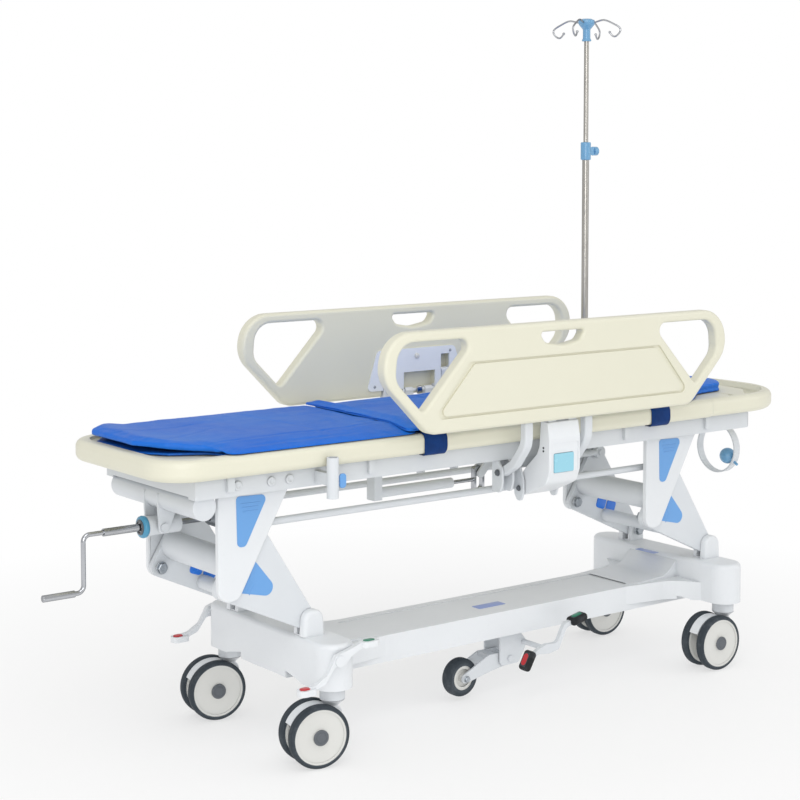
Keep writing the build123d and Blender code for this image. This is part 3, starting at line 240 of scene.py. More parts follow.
FINISHES = {
    "ring_teal": moulded("ring_teal", (72, 150, 186), 0.3, shade=(30, 84, 120), coat=0.3),
    "cover_white": moulded("cover_white", (229, 232, 235), 0.34),
    "frame_white": powder_coat("frame_white", (217, 221, 225), 0.42),
    "rail_cream": moulded("rail_cream", (226, 224, 205), 0.4, peel=0.00018, coat=0.08, shade=(176, 171, 146)),
    "insert_blue": moulded("insert_blue", (104, 162, 222), 0.3, shade=(52, 102, 176), coat=0.3),
    "pad_blue": fabric("pad_blue", (4, 104, 212), (1, 26, 92), (44, 138, 228)),
    "strap_navy": webbing("strap_navy", (2, 58, 126), (1, 22, 60)),
    "tyre_dark": rubber("tyre_dark", (50, 58, 65)),
    "disc_grey": moulded("disc_grey", (218, 218, 214), 0.32, shade=(120, 124, 130)),
    "pedal_rubber": rubber("pedal_rubber", (26, 28, 31)),
    "chrome": bright_metal("chrome", (190, 192, 196), 0.14, (1.0, 12.0, 12.0), dark=0.85),
    "pole_steel": bright_metal("pole_steel", (186, 183, 177), 0.3, (14.0, 14.0, 0.6), dark=0.5),
    "pole_blue": moulded("pole_blue", (112, 166, 205), 0.3, shade=(48, 98, 150), coat=0.3),
    "zinc": bright_metal("zinc", (178, 184, 190), 0.36, (3.0, 3.0, 3.0), 0.00008),
    "plate_white": powder_coat("plate_white", (236, 240, 244), 0.36),
    "button_blue": moulded("button_blue", (150, 208, 226), 0.25, shade=(70, 150, 178), coat=0.4),
    "cap_dark": moulded("cap_dark", (92, 97, 103), 0.4, shade=(40, 42, 46)),
    "mark_green": moulded("mark_green", (22, 128, 98), 0.3, shade=(8, 60, 48)),
    "mark_red": moulded("mark_red", (196, 44, 52), 0.3, shade=(96, 12, 20)),
    "label_blue": moulded("label_blue", (138, 158, 214), 0.35, shade=(84, 104, 170)),
    "lozenge_blue": moulded("lozenge_blue", (38, 122, 228), 0.28, shade=(24, 84, 180), coat=0.3),
    "screw_black": rubber("screw_black", (32, 33, 36), 0.45),
}


def paint(obj, finish):
    obj.data.materials.clear()
    obj.data.materials.append(FINISHES[finish].material)


def paint_frame():
    """Each CAD node takes the finish named by its slot in the record."""
    for node in NODES.values():
        slots = [material.name.split(".")[0] for material in node.data.materials if material]
        paint(node, slots[0])


paint_frame()


# ---------------------------------------------------------------- mesh helpers
WELD = 1e-6                                        # points closer than this become one
EDGE_TURNS = (math.pi / 6, math.pi / 3, math.pi / 2)
EDGE_GAIN = 1.3                                    # a plate's farthest corner draws in by this much more


def middle(node):
    low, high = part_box(node)
    return (Vector(low) + Vector(high)) / 2


def finished(name, bm, finish, body=None, smooth=True):
    """Turns a bmesh into an object of the scene with its finish, riding on a body."""
    bmesh.ops.remove_doubles(bm, verts=bm.verts, dist=WELD)
    bmesh.ops.recalc_face_normals(bm, faces=bm.faces)
    mesh = bpy.data.meshes.new(name)
    bm.to_mesh(mesh)
    bm.free()
    mesh.polygons.foreach_set("use_smooth", [smooth] * len(mesh.polygons))
    obj = bpy.data.objects.new(name, mesh)
    bpy.context.scene.collection.objects.link(obj)
    paint(obj, finish)
    if body:
        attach(obj, body)
    return obj


def facing(axis):
    """Rotation that turns +Z to the axis."""
    return Vector(axis).to_track_quat("Z", "Y").to_matrix().to_4x4()


def turned(bm, profile, origin, axis, segments=40):
    """Adds a solid of revolution: profile is (radius, height) along the axis, from axis to axis."""
    place = Matrix.Translation(Vector(origin)) @ facing(axis)
    rings = []
    for radius, height in profile:
        if radius == 0:
            rings.append([bm.verts.new(place @ Vector((0, 0, height)))])
            continue
        turns = [2 * math.pi * k / segments for k in range(segments)]
        rings.append([bm.verts.new(place @ Vector((radius * math.cos(a), radius * math.sin(a), height)))
                      for a in turns])
    for low, high in zip(rings, rings[1:]):
        for k in range(segments):
            n = (k + 1) % segments
            corner = [low[k % len(low)], low[n % len(low)], high[n % len(high)], high[k % len(high)]]
            unique = list(dict.fromkeys(corner))
            if len(unique) > 2:
                bm.faces.new(unique)
    return bm


def rounded(corners, steps=5):
    """Polygon points with each (x, y, radius) corner turned into an arc."""
    points = []
    count = len(corners)
    for n, (x, y, radius) in enumerate(corners):
        here = Vector((x, y))
        before = (Vector(corners[n - 1][:2]) - here).normalized()
        after = (Vector(corners[(n + 1) % count][:2]) - here).normalized()
        half = before.angle(after) / 2
        cut = radius / math.tan(half)
        centre = here + (before + after).normalized() * (radius / math.sin(half))
        start = here + before * cut - centre
        end = here + after * cut - centre
        sweep = start.angle_signed(end)
        for k in range(steps + 1):
            turn = -sweep * k / steps
            points.append(centre + Matrix.Rotation(turn, 2) @ start)
    return points


def slab(bm, points, thickness, place, edge):
    """Adds a plate: the outline in the local XY plane, raised along local Z, with a rounded top edge."""
    levels = [(0.0, 0.0), (0.0, thickness - edge)]
    levels += [(edge * (1 - math.cos(t)), thickness - edge + edge * math.sin(t)) for t in EDGE_TURNS]
    centre = sum(points, Vector((0, 0))) / len(points)
    reach = max((p - centre).length for p in points)
    rings = []
    for inset, height in levels:
        scale = 1 - inset / reach * EDGE_GAIN
        lift = place.to_3x3() @ Vector((0, 0, height))
        rings.append([bm.verts.new(place @ (centre + (p - centre) * scale).to_3d() + lift) for p in points])
    for low, high in zip(rings, rings[1:]):
        for k in range(len(points)):
            n = (k + 1) % len(points)
            bm.faces.new((low[k], low[n], high[n], high[k]))
    bm.faces.new(rings[0])
    bm.faces.new(rings[-1])
    return bm


def frame_of(origin, normal, right):
    """Local frame with Z along the normal and X along right."""
    z = Vector(normal).normalized()
    x = (Vector(right) - z * Vector(right).dot(z)).normalized()
    y = z.cross(x)
    turn = Matrix((x, y, z)).transposed().to_4x4()
    return Matrix.Translation(Vector(origin)) @ turn


def box_outline(width, height, radius):
    w, h = width / 2, height / 2
    return rounded([(-w, -h, radius), (w, -h, radius), (w, h, radius), (-w, h, radius)])


# ---------------------------------------------------------------- cushions
PLATFORM = middle("deck_shell").z + 0.0172         # the sunk top face of the deck
RIM_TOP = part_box("deck_shell")[1][2]
RIM_SIDE = 0.25                                    # half width of the deck
RIM_INNER = 0.214                                  # half width of the sunk platform
RIM_RUN = 0.010                                    # the rim rises from the platform over this width
SKIN = 0.0006                                      # gap kept between cloth and what it lies on
VOXEL = 0.006
BLANK_EDGE = 0.006                                 # rounding of a cushion's upper edge before it swells
SWELL = 0.006                                      # room left at the top and far side for the swollen cloth
NEAR_EDGE = -0.246                                 # near edge of both cushions
NEAR_CREASE = -0.165                               # lengthwise crease; beyond it the cushion slopes down
NEAR_SLOPE = 0.16
SHEET_TOP = 0.0095                                 # top of the lower leg sheet above the platform
SHEET_BLANK = 0.012                                # thickness of its blank
SHEET_GAP = 0.002                                  # gap left between the two leg sheets
SHEET_INSET = 0.012                                # the lower sheet is this much shorter at both ends
SHEET_NARROWING = 0.955
SHEET_SIDE = 0.205                                 # half width over which the lower sheet carries the upper
FOOT_GAP = 0.011                                   # how far the upper sheet stands open at the foot end
FLAP_X = -0.30                                     # where the body pad starts to climb over the leg pad
FLAP_RUN = 0.035
FLAP_LIFT = 0.029                                  # height of the flap above the platform
FLAP_THICK = 0.009
FLAP_SEAT = 0.002                                  # the leg cushion is this much lower under the flap
FLAP_SEAT_X = -0.37
TAPER_X = 0.64                                     # where the head end of the body cushion starts to narrow

Fold = namedtuple("Fold", "start end depth width")


def evaluated(obj):
    """Applies every modifier of the object."""
    graph = bpy.context.evaluated_depsgraph_get()
    mesh = bpy.data.meshes.new_from_object(obj.evaluated_get(graph))
    obj.modifiers.clear()
    obj.data = mesh


def smooth_step(t):
    t = min(max(t, 0.0), 1.0)
    return t * t * (3 - 2 * t)


def cushion_blank(name, outline, low, high):
    """Plain prism of the cushion remeshed to small even faces."""
    bm = bmesh.new()
    slab(bm, rounded(outline), high - low, Matrix.Translation((0, 0, low)), BLANK_EDGE)
    obj = finished(name, bm, "pad_blue")
    remesh = obj.modifiers.new("cells", "REMESH")
    remesh.mode = "VOXEL"
    remesh.voxel_size = VOXEL
    evaluated(obj)
    return obj


def inflate(obj, cap, pressure=4.0, frames=20):
    """Lets cloth swell under pressure for a few frames; no point moves farther than the cap."""
    start = [v.co.copy() for v in obj.data.vertices]
    cloth = obj.modifiers.new("cloth", "CLOTH")
    settings = cloth.settings
    settings.quality = 4
    settings.mass = 0.3
    settings.tension_stiffness = 12.0
    settings.compression_stiffness = 8.0
    settings.bending_stiffness = 1.2
    settings.use_pressure = True
    settings.uniform_pressure_force = pressure
    settings.effector_weights.gravity = 0.0
    cloth.point_cache.frame_start = 1
    cloth.point_cache.frame_end = frames
    scene = bpy.context.scene
    for step in range(1, frames + 1):
        scene.frame_set(step)
    evaluated(obj)
    scene.frame_set(1)
    for vertex, before in zip(obj.data.vertices, start):
        move = vertex.co - before
        if move.length > cap:
            vertex.co = before + move.normalized() * cap


def support(x, y):
    """Height of the deck under a point: the sunk platform, rising to the rim at both sides."""
    rise = smooth_step((abs(y) - RIM_INNER + RIM_RUN) / RIM_RUN)
    return PLATFORM + SKIN + (RIM_TOP - PLATFORM) * rise


def slope(y):
    return max(0.0, NEAR_CREASE - y) * NEAR_SLOPE


def drape(obj, low, high, bottom, top):
    """Stretches the even blank between its lower and upper surface."""
    for vertex in obj.data.vertices:
        p = vertex.co
        t = (p.z - low) / (high - low)
        base = bottom(p.x, p.y)
        p.z = base + t * (top(p.x, p.y) - base)


def press(p, fold):
    """Lowers a point that lies near the line of a fold; the fold fades out at both ends."""
    start = Vector(fold.start)
    run = Vector(fold.end) - start
    at = Vector((p.x, p.y)) - start
    t = min(max(at.dot(run) / run.length_squared, 0), 1)
    away = (at - run * t).length
    fade = smooth_step(min(t, 1 - t) * 5)
    p.z -= fold.depth * fade * math.exp(-(away / fold.width) ** 2)


def wrinkle(obj, seed, bottom, folds, seam_z=None):
    """Lays the swollen cushion on its support, closes its side seam and presses the creases in."""
    facing_up, facing_side = 0.4, 0.75
    seam_depth, seam_width = 0.005, 0.003
    drift = Vector((seed * 3.1, seed * 1.7, 0.0))
    normals = [vertex.normal.copy() for vertex in obj.data.vertices]
    for vertex, normal in zip(obj.data.vertices, normals):
        p = vertex.co
        soft = noise.noise(Vector((p.x * 7, p.y * 11, 0)) + drift) * 0.0022
        fine = noise.noise(Vector((p.x * 30, p.y * 17, 0)) + drift) * 0.0009
        if normal.z > facing_up:
            p.z += soft + fine
            for fold in folds:
                press(p, fold)
        elif seam_z and abs(normal.z) < facing_side:
            pinch = math.exp(-((p.z - seam_z(p.x, p.y)) / seam_width) ** 2)
            p -= Vector((normal.x, normal.y, 0)) * seam_depth * pinch
        p.z = max(p.z, bottom(p.x, p.y))
    subdivide = obj.modifiers.new("smooth", "SUBSURF")
    subdivide.levels = 1
    subdivide.render_levels = 1
    evaluated(obj)
    obj.data.polygons.foreach_set("use_smooth", [True] * len(obj.data.polygons))


def leg_cushion():
    """Two sheets lying on each other, the upper one standing open at the foot end."""
    low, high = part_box("leg_pad")
    rest = low[2]
    far = high[1] - SWELL
    foot, head = low[0] - 0.005, high[0] + 0.016
    plan = [
        (foot, -0.05, 0.01), (foot + 0.045, -0.125, 0.02), (foot + 0.125, -0.170, 0.05),
        (foot + 0.155, NEAR_EDGE, 0.02), (head, NEAR_EDGE, 0.02), (head, far, 0.02),
        (foot + 0.075, far, 0.03), (foot, 0.15, 0.03),
    ]

    def opening(x):
        return FOOT_GAP * smooth_step((foot + 0.13 - x) / 0.12)

    def upper_bottom(x, y):
        carried = 1 - smooth_step((abs(y) - SHEET_SIDE) / 0.02)
        return support(x, y) + SHEET_TOP * carried + opening(x)

    def upper_top(x, y):
        seat = FLAP_SEAT * smooth_step((x - FLAP_SEAT_X) / 0.03)
        return high[2] - SWELL - slope(y) + opening(x) - seat

    def lower_top(x, y):
        return support(x, y) + SHEET_TOP - SHEET_GAP

    upper = cushion_blank("leg_cushion", plan, rest, high[2])
    drape(upper, rest, high[2], upper_bottom, upper_top)
    lower_plan = [(x + (SHEET_INSET if x < head else -SHEET_INSET), y * SHEET_NARROWING, radius)
                  for x, y, radius in plan]
    lower = cushion_blank("leg_sheet", lower_plan, rest, rest + SHEET_BLANK)
    drape(lower, rest, rest + SHEET_BLANK, support, lower_top)
    inflate(upper, SWELL)
    inflate(lower, SWELL / 4)
    folds = [
        Fold((foot + 0.10, NEAR_CREASE), (head, NEAR_CREASE + 0.008), 0.0034, 0.004),
        Fold((foot + 0.02, 0.05), (foot + 0.30, 0.10), 0.0022, 0.006),
        Fold((-0.52, NEAR_EDGE), (-0.56, far), 0.0022, 0.005),
        Fold((foot + 0.05, -0.10), (foot + 0.26, 0.01), 0.0020, 0.005),
        Fold((-0.45, -0.14), (head, -0.10), 0.0018, 0.006),
        Fold((-0.80, -0.215), (-0.42, -0.205), 0.0020, 0.005),
    ]
    wrinkle(upper, 1, upper_bottom, folds)
    wrinkle(lower, 3, support, [])
    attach(upper, "deck")
    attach(lower, "deck")
    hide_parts("leg_pad")


def climb(x):
    """Share of the way up onto the leg cushion."""
    return smooth_step((FLAP_X - x) / FLAP_RUN + 1)


def body_cushion():
    """Seat and back in one piece, its foot edge lying over the leg cushion and its head end tapered."""
    low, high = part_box("seat_pad")
    far = high[1] - SWELL
    foot = low[0] - 0.030
    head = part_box("back_pad")[1][0] - 0.004
    taper = [(0.79, 0.124, 0.06), (0.905, 0.102, 0.04), (head, 0.05, 0.03)]
    outline = [(foot - 0.008, NEAR_EDGE, 0.015), (TAPER_X, NEAR_EDGE, 0.06)]
    outline += [(x, -y, radius) for x, y, radius in taper]
    outline += taper[::-1]
    outline += [(TAPER_X, far, 0.06), (foot + 0.016, far, 0.015)]

    def bottom(x, y):
        return support(x, y) * (1 - climb(x)) + (PLATFORM + FLAP_LIFT - slope(y)) * climb(x)

    def top(x, y):
        flat = high[2] - SWELL - slope(y)
        return flat * (1 - climb(x)) + (PLATFORM + FLAP_LIFT + FLAP_THICK - slope(y)) * climb(x)

    def seam(x, y):
        return (bottom(x, y) + top(x, y)) / 2

    obj = cushion_blank("body_cushion", outline, low[2], high[2])
    drape(obj, low[2], high[2], bottom, top)
    inflate(obj, SWELL)
    folds = [
        Fold((foot + 0.01, NEAR_CREASE), (0.60, NEAR_CREASE), 0.0030, 0.004),
        Fold((0.13, NEAR_EDGE), (0.13, far), 0.0035, 0.012),
        Fold((foot + 0.02, 0.16), (0.5, 0.12), 0.0016, 0.006),
        Fold((0.56, -far), (0.70, 0.0), 0.0018, 0.006),
        Fold((-0.05, -far), (0.02, far), 0.0018, 0.006),
    ]
    wrinkle(obj, 2, bottom, folds, seam)
    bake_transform(obj)
    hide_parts("seat_pad", "back_pad")


leg_cushion()
body_cushion()


# ---------------------------------------------------------------- straps
STRAP_WIDTH = 0.070
STRAP_THICK = 0.0024
STRAP_TAPER = 0.16                                 # share of the width lost towards the end under the deck
STRAP_DRIFT = 0.006                                # the same end runs this far towards the head end
STRAP_BEND = 0.0175                                # radius of its turns over the rim and under the deck
STRAP_OVER = 0.0012                                # gap between rim and strap
STRAPS_X = (-0.257, 0.507)
HEM = 0.86                                         # hem line, as a share of the half width
HEM_DEPTH = 0.0006
HALF_ACROSS = (0.5, 0.82, HEM, 0.9, 0.97, 1.0)     # points across half a strap


def quarter_turn(y, z, start):
    """Quarter circle of the strap about a centre, falling from the start angle."""
    turns = [start - math.pi / 2 * k / 8 for k in range(9)]
    return [(y + STRAP_BEND * math.cos(turn), z + STRAP_BEND * math.sin(turn)) for turn in turns]


def strap_path(side):
    """Run of the strap from under the cushion, over the rim, down and round to the underside."""
    edge = RIM_SIDE + SKIN
    over = RIM_TOP + STRAP_OVER
    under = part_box("deck_shell")[0][2] - 0.0030
    path = [(edge - 0.030, PLATFORM + 0.0015), (edge - 0.027, RIM_TOP - 0.002), (edge - 0.022, over)]
    path += quarter_turn(edge - STRAP_BEND, over - STRAP_BEND, math.pi / 2)
    path.append((edge + 0.0004, under + 0.019))
    path += quarter_turn(edge - STRAP_BEND, under + STRAP_BEND, 0.0)[1:]
    path += [(edge - 0.024, under), (edge - 0.034, under - 0.0004)]
    return [(side * y, z) for y, z in path]


def strap(name, x, side):
    """One flat strap with a hem line near each edge, a little narrower at its lower end."""
    path = strap_path(side)
    across = [-u for u in HALF_ACROSS[::-1]] + [0.0] + list(HALF_ACROSS)
    bm = bmesh.new()
    rows = []
    for n, (y, z) in enumerate(path):
        y0, z0 = path[max(n - 1, 0)]
        y1, z1 = path[min(n + 1, len(path) - 1)]
        along = Vector((0, y1 - y0, z1 - z0)).normalized()
        out = along.cross(Vector(ALONG)) * side
        outward = Vector((0, side, 1 if n <= len(path) // 2 else -1))
        if out.dot(outward) < 0:
            out = -out
        end = max(0.0, (n - len(path) * 0.55) / (len(path) * 0.45))
        top, low = [], []
        for u in across:
            px = x + u * (STRAP_WIDTH / 2 * (1 - STRAP_TAPER * end)) + STRAP_DRIFT * end
            hem = HEM_DEPTH if abs(u) == HEM else 0.0
            ripple = 0.0003 * math.sin(px * 190 + n)
            thick = STRAP_THICK * (0.5 if abs(u) == 1.0 else 1.0)
            base = Vector((px, y, z))
            top.append(bm.verts.new(base + out * (thick - hem + ripple)))
            low.append(bm.verts.new(base + out * (0.0002 if abs(u) < 1 else 0.0008)))
        rows.append(top + low[::-1])
    for a, b in zip(rows, rows[1:]):
        for k in range(len(a)):
            n = (k + 1) % len(a)
            bm.faces.new((a[k], a[n], b[n], b[k]))
    bm.faces.new(rows[0])
    bm.faces.new(rows[-1])
    return finished(name, bm, "strap_navy", "deck")


straps = [strap(f"strap_{side_name}_{n}", x, side)
          for side_name, side in SIDES.items() for n, x in enumerate(STRAPS_X)]
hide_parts("pad_straps")


# ---------------------------------------------------------------- small fittings
# Profiles of turned pieces: (radius, height) along the axis.
HUB_CAP = [(0, 0.0052), (0.0105, 0.0050), (0.0118, 0.0040), (0.0132, 0.0040), (0.0140, 0.0048),
           (0.0172, 0.0042), (0.0188, 0.0028), (0.0190, 0.0), (0, 0.0)]
SWIVEL_COLLAR = [(0.0145, 0.0), (0.0238, 0.0), (0.0245, 0.0008), (0.0245, 0.0050), (0.0145, 0.0050),
                 (0.0145, 0.0)]
SCREW_DOME = [(0, 0.0022), (0.0024, 0.0022), (0.0027, 0.0044), (0.003, 0.0044), (0.0056, 0.0034),
              (0.0072, 0.0012), (0.0074, 0.0), (0, 0.0)]
PLATE_KNOB = [(0, 0.006), (0.0045, 0.0058), (0.0064, 0.0048), (0.0070, 0.0028), (0.0062, 0.0010),
              (0.0072, 0.0), (0, 0.0)]
CRANK_COLLAR = [(0.0125, -0.001), (0.0200, -0.001), (0.0250, 0.001), (0.0262, 0.005), (0.0255, 0.010),
                (0.0242, 0.012), (0.0241, 0.0035), (0.0125, 0.0035), (0.0125, -0.001)]
CRANK_WASHER = [(0.0126, -0.0035), (0.0165, -0.0035), (0.0180, -0.0025), (0.0182, -0.0009),
                (0.0126, -0.0009), (0.0126, -0.0035)]
FRAME_BOSS = [(0, 0.003), (0.005, 0.003), (0.006, 0.0044), (0.0098, 0.0044), (0.0112, 0.003),
              (0.0112, 0.0), (0, 0.0)]

SINK = 0.0002                                      # how deep a fitting is set into the face it sits on
HUB_FACE = 0.0405                                  # hub cap's distance from the middle of the castor
SWIVEL_TOP = 0.1464                                # underside of the collar above the floor
ELBOW_FACE, POST_FACE = 0.1289, 0.1169             # half widths where the pin heads sit
PIN_HEAD = 0.0132
UNITS = ("foot_rocker", "head_rocker")
UNIT_PITCH = JOINTS["head_lift"]["pos_m"][0] - JOINTS["lift"]["pos_m"][0]
COVER_INSERT = (-0.733, 0.626)                     # x and z of the top rib on the foot leg cover
ROCKER_INSERT = (-0.744, 0.441)                    # x and z of the middle of the foot rocker's insert
ROCKER_RUN = Vector((0.513, 0, 0.858))             # direction of the rocker plate's long edge
ROCKER_IN = Vector((0.858, 0, -0.513))             # square to it, into the plate
ROCKER_INNER = 0.138                               # half width to the inner faces of the rocker plates
TUBE_END = Vector((0.8999, 0.191, 0.6775))         # middle of the far side tube's head end
PEDAL_PAD_Y = 0.157
BEAM_PANEL = 0.2294                                # top of the sunk panel of the base cover
BEAM_SIDE = -0.098
FRAME_SIDE = 0.2061                                # outer face of the side tubes
FOOT_SOCKET_X = -0.571


def hub_cap(where, face, sign):
    """A dark cap with a raised ring on one face of a castor."""
    axle = Vector(JOINTS[f"roll_{where}"]["axis"])
    centre = Vector(JOINTS[f"roll_{where}"]["pos_m"])
    bm = turned(bmesh.new(), HUB_CAP, centre + axle * sign * HUB_FACE, axle * sign)
    finished(f"hub_cap_{face}_{where}", bm, "cap_dark", f"wheels_{where}", False)


def castors():
    """Hub caps on both faces of every castor and a white collar on its swivel."""
    for name in JOINTS:
        if not name.startswith("roll_"):
            continue
        where = name[len("roll_"):]
        hub_cap(where, "outer", 1)
        hub_cap(where, "inner", -1)
        swivel = JOINTS[f"swivel_{where}"]["pos_m"]
        bm = turned(bmesh.new(), SWIVEL_COLLAR, (swivel[0], swivel[1], SWIVEL_TOP), UP, 48)
        finished(f"castor_collar_{where}", bm, "cover_white", f"castor_{where}")


def hex_bolt(name, origin, axis, size, body, finish="zinc"):
    """Hexagon head on its washer, chamfered on top."""
    rim = size * 0.17
    washer = [(0, 0.0), (size * 1.12, 0.0), (size * 1.15, size * 0.08), (size * 1.08, rim), (0, rim)]
    top = size * 0.62
    dish = top - size * 0.05
    head = [(0, size * 0.16), (size, size * 0.16), (size, top - size * 0.1), (size * 0.84, top),
            (size * 0.5, top), (size * 0.44, dish), (0, dish)]
    bm = turned(bmesh.new(), washer, origin, axis, 36)
    turned(bm, head, origin, axis, 6)
    return finished(name, bm, finish, body, False)


def dome_screw(name, origin, axis, scale, body, finish="zinc"):
    """Round-headed screw with a socket."""
    profile = [(radius * scale, height * scale) for radius, height in SCREW_DOME]
    return finished(name, turned(bmesh.new(), profile, origin, axis, 28), finish, body)


def patch(name, origin, normal, right, width, height, radius, thickness, finish, body):
    """Thin rounded plate stuck on a face."""
    place = frame_of(origin, normal, right)
    bm = slab(bmesh.new(), box_outline(width, height, radius), thickness, place, thickness * 0.6)
    return finished(name, bm, finish, body)


def lift_bolts():
    """Grey heads of the elbow and base pins on the inside of the rockers."""
    elbow = Vector(JOINTS["deck_level"]["pos_m"])
    post = Vector(JOINTS["lift"]["pos_m"])
    for unit in range(2):
        shift = UNIT_PITCH * unit
        for side_name, side in SIDES.items():
            inward = (0, -side, 0)
            at_elbow = (elbow.x + shift, side * ELBOW_FACE, elbow.z)
            at_post = (post.x + shift, side * POST_FACE, post.z)
            hex_bolt(f"elbow_bolt_{unit}_{side_name}", at_elbow, inward, PIN_HEAD, "deck")
            hex_bolt(f"post_bolt_{unit}_{side_name}", at_post, inward, PIN_HEAD, "base")


def insert_ribs():
    """Raised ribs on the blue inserts: level ones on the leg covers, slanting ones on the rockers."""
    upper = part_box("leg_inserts")[1][1] - SINK / 2
    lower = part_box("foot_rocker_inserts")[1][1] - SINK / 2
    for unit, rocker in enumerate(UNITS):
        shift = UNIT_PITCH * unit
        for side_name, side in SIDES.items():
            out = (0, side, 0)
            for n in range(3):
                at = (COVER_INSERT[0] + shift, side * upper, COVER_INSERT[1] - 0.009 * n)
                patch(f"cover_rib_{unit}{n}_{side_name}", at, out, ALONG, 0.052 - 0.006 * n, 0.0026, 0.0012,
                      0.0010, "insert_blue", "deck")
                foot = Vector((ROCKER_INSERT[0] + shift, side * lower, ROCKER_INSERT[1]))
                foot += ROCKER_IN * (0.012 + 0.009 * n)
                patch(f"rocker_rib_{unit}{n}_{side_name}", foot - ROCKER_RUN * 0.003 * n, out, ROCKER_RUN,
                      0.040 - 0.006 * n, 0.0024, 0.0011, 0.0004, "insert_blue", rocker)


def frame_plugs():
    """Plastic plugs in the head ends of the side tubes."""
    for side_name, side in SIDES.items():
        at = (TUBE_END.x, side * TUBE_END.y, TUBE_END.z)
        patch(f"tube_plug_{side_name}", at, ALONG, ACROSS, 0.0285, 0.0435, 0.003, 0.003, "cap_dark", "deck")


def rocker_lozenges():
    """Blue two-part inlays on the inner faces of the rocker plates."""
    for body, joint in zip(UNITS, ("lift", "head_lift")):
        pivot = JOINTS[joint]["pos_m"]
        for side_name, side in SIDES.items():
            for part, shift in (("a", -0.017), ("b", 0.021)):
                at = (pivot[0] - 0.117 + shift, side * ROCKER_INNER, pivot[2] + 0.088 - shift * 0.35)
                patch(f"inlay_{part}_{body}_{side_name}", at, (0, -side, 0), (1, 0, -0.35), 0.036, 0.033,
                      0.009, 0.0022, "lozenge_blue", body)


def steer_bolts():
    """Grey nuts on the axle of the steering wheel."""
    axle = JOINTS["steer_roll"]["pos_m"]
    low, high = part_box("steer_arm")
    hex_bolt("steer_nut_near", (axle[0], low[1] + SINK, axle[2]), (0, -1, 0), 0.0078, "steer_arm")
    hex_bolt("steer_nut_far", (axle[0], high[1] - SINK, axle[2]), (0, 1, 0), 0.0078, "steer_arm")


def brake_marks():
    """Green mark on the head pad and red mark on the foot pad of each brake pedal."""
    for side_name, side in SIDES.items():
        low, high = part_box(f"brake_pedal_{side_name}")
        body = f"brake_{side_name}"
        y = (low[1] + high[1]) / 2
        patch(f"brake_mark_green_{side_name}", (high[0] - 0.024, y, high[2] - SINK), UP, ALONG,
              0.030, 0.017, 0.0082, 0.0016, "mark_green", body)
        patch(f"brake_mark_red_{side_name}", (low[0] + 0.018, y, low[2] + 0.0138), UP, ALONG,
              0.026, 0.018, 0.0088, 0.0036, "mark_red", body)


def steer_marks():
    """Coloured ovals on the four rubber pads of the steering pedal."""
    pivot = JOINTS["steer_press"]["pos_m"]
    for side_name, side in SIDES.items():
        for colour, dx, dz, tilt in (("green", 0.112, 0.062, 12.0), ("red", -0.062, -0.022, 60.0)):
            sine, cosine = math.sin(math.radians(tilt)), math.cos(math.radians(tilt))
            up = Vector((-sine, 0, cosine))
            at = Vector((pivot[0] + dx, side * PEDAL_PAD_Y, pivot[2] + dz)) + up * 0.0109
            patch(f"steer_mark_{colour}_{side_name}", at, up, (cosine, 0, sine), 0.032, 0.016, 0.0078, 0.0014,
                  f"mark_{colour}", "steer_pedal")


def labels():
    """Plain tinted strips on the base cover, without any wording, and two screws in its near side."""
    low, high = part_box("base_cover")
    for x, name in ((low[0] + 0.084, "foot"), (high[0] - 0.12, "head")):
        patch(f"label_{name}", (x, 0.0, high[2] - SINK), UP, ACROSS, 0.074, 0.024, 0.004, 0.0006,
              "label_blue", "base")
    patch("label_beam", (0.105, -0.02, BEAM_PANEL), UP, ALONG, 0.092, 0.034, 0.004, 0.0006,
          "label_blue", "base")
    for name, x in (("m430", -0.43), ("607", 0.607)):
        dome_screw(f"beam_screw_{name}", (x, BEAM_SIDE, 0.191), (0, -1, 0), 0.7, "base")


def pivot_bolts(name, node, pivot, side_name, stand_off, size):
    """A dark bolt head at both ends of a rail pivot, just outside the piece that turns on it."""
    low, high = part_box(node)
    for n, (x, sign) in enumerate(((low[0] - stand_off, -1), (high[0] + stand_off, 1))):
        hex_bolt(f"{name}_{n}_{side_name}", (x, pivot[1], pivot[2]), (sign, 0, 0), size, "deck", "cap_dark")


def plate_fittings(side_name, side):
    """Knob and four screws on the plate that carries the rail."""
    low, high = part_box(f"rail_plate_{side_name}")
    body = f"rail_{side_name}"
    face = low[1] if side > 0 else high[1]
    inward = (0, -side, 0)
    bm = turned(bmesh.new(), PLATE_KNOB, (0.098, face + side * SINK, 0.868), inward, 32)
    finished(f"plate_knob_{side_name}", bm, "disc_grey", body)
    for n, (x, lean) in enumerate(((-0.046, 0.026), (0.242, -0.026))):
        for m, z in enumerate((0.792, 0.876)):
            dome_screw(f"plate_screw_{n}{m}_{side_name}", (x + lean * m, face, z), inward, 0.55, body)


def rail_details():
    """Pivot bolts, lock screws, plate knob and clip of both side rails."""
    for side_name, side in SIDES.items():
        swing = JOINTS[f"rail_swing_{side_name}"]["pos_m"]
        lock = JOINTS[f"lock_swing_{side_name}"]["pos_m"]
        lock_node = f"rail_lock_{side_name}"
        pivot_bolts("arm_bolt", f"rail_arms_{side_name}", swing, side_name, 0.0095, 0.0075)
        pivot_bolts("lock_bolt", lock_node, lock, side_name, 0.011, 0.0065)
        lock_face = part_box(lock_node)[0][0] - SINK
        for n, z in enumerate((0.690, 0.682)):
            dome_screw(f"lock_screw_{n}_{side_name}", (lock_face, side * 0.288, z), (-1, 0, 0), 0.38,
                       lock_node, "screw_black")
        plate_fittings(side_name, side)
        patch(f"lock_clip_{side_name}", (0.108, side * 0.2845, lock[2] + 0.195), (0, -side, 0), ALONG,
              0.018, 0.022, 0.004, 0.004, "chrome", f"rail_{side_name}")


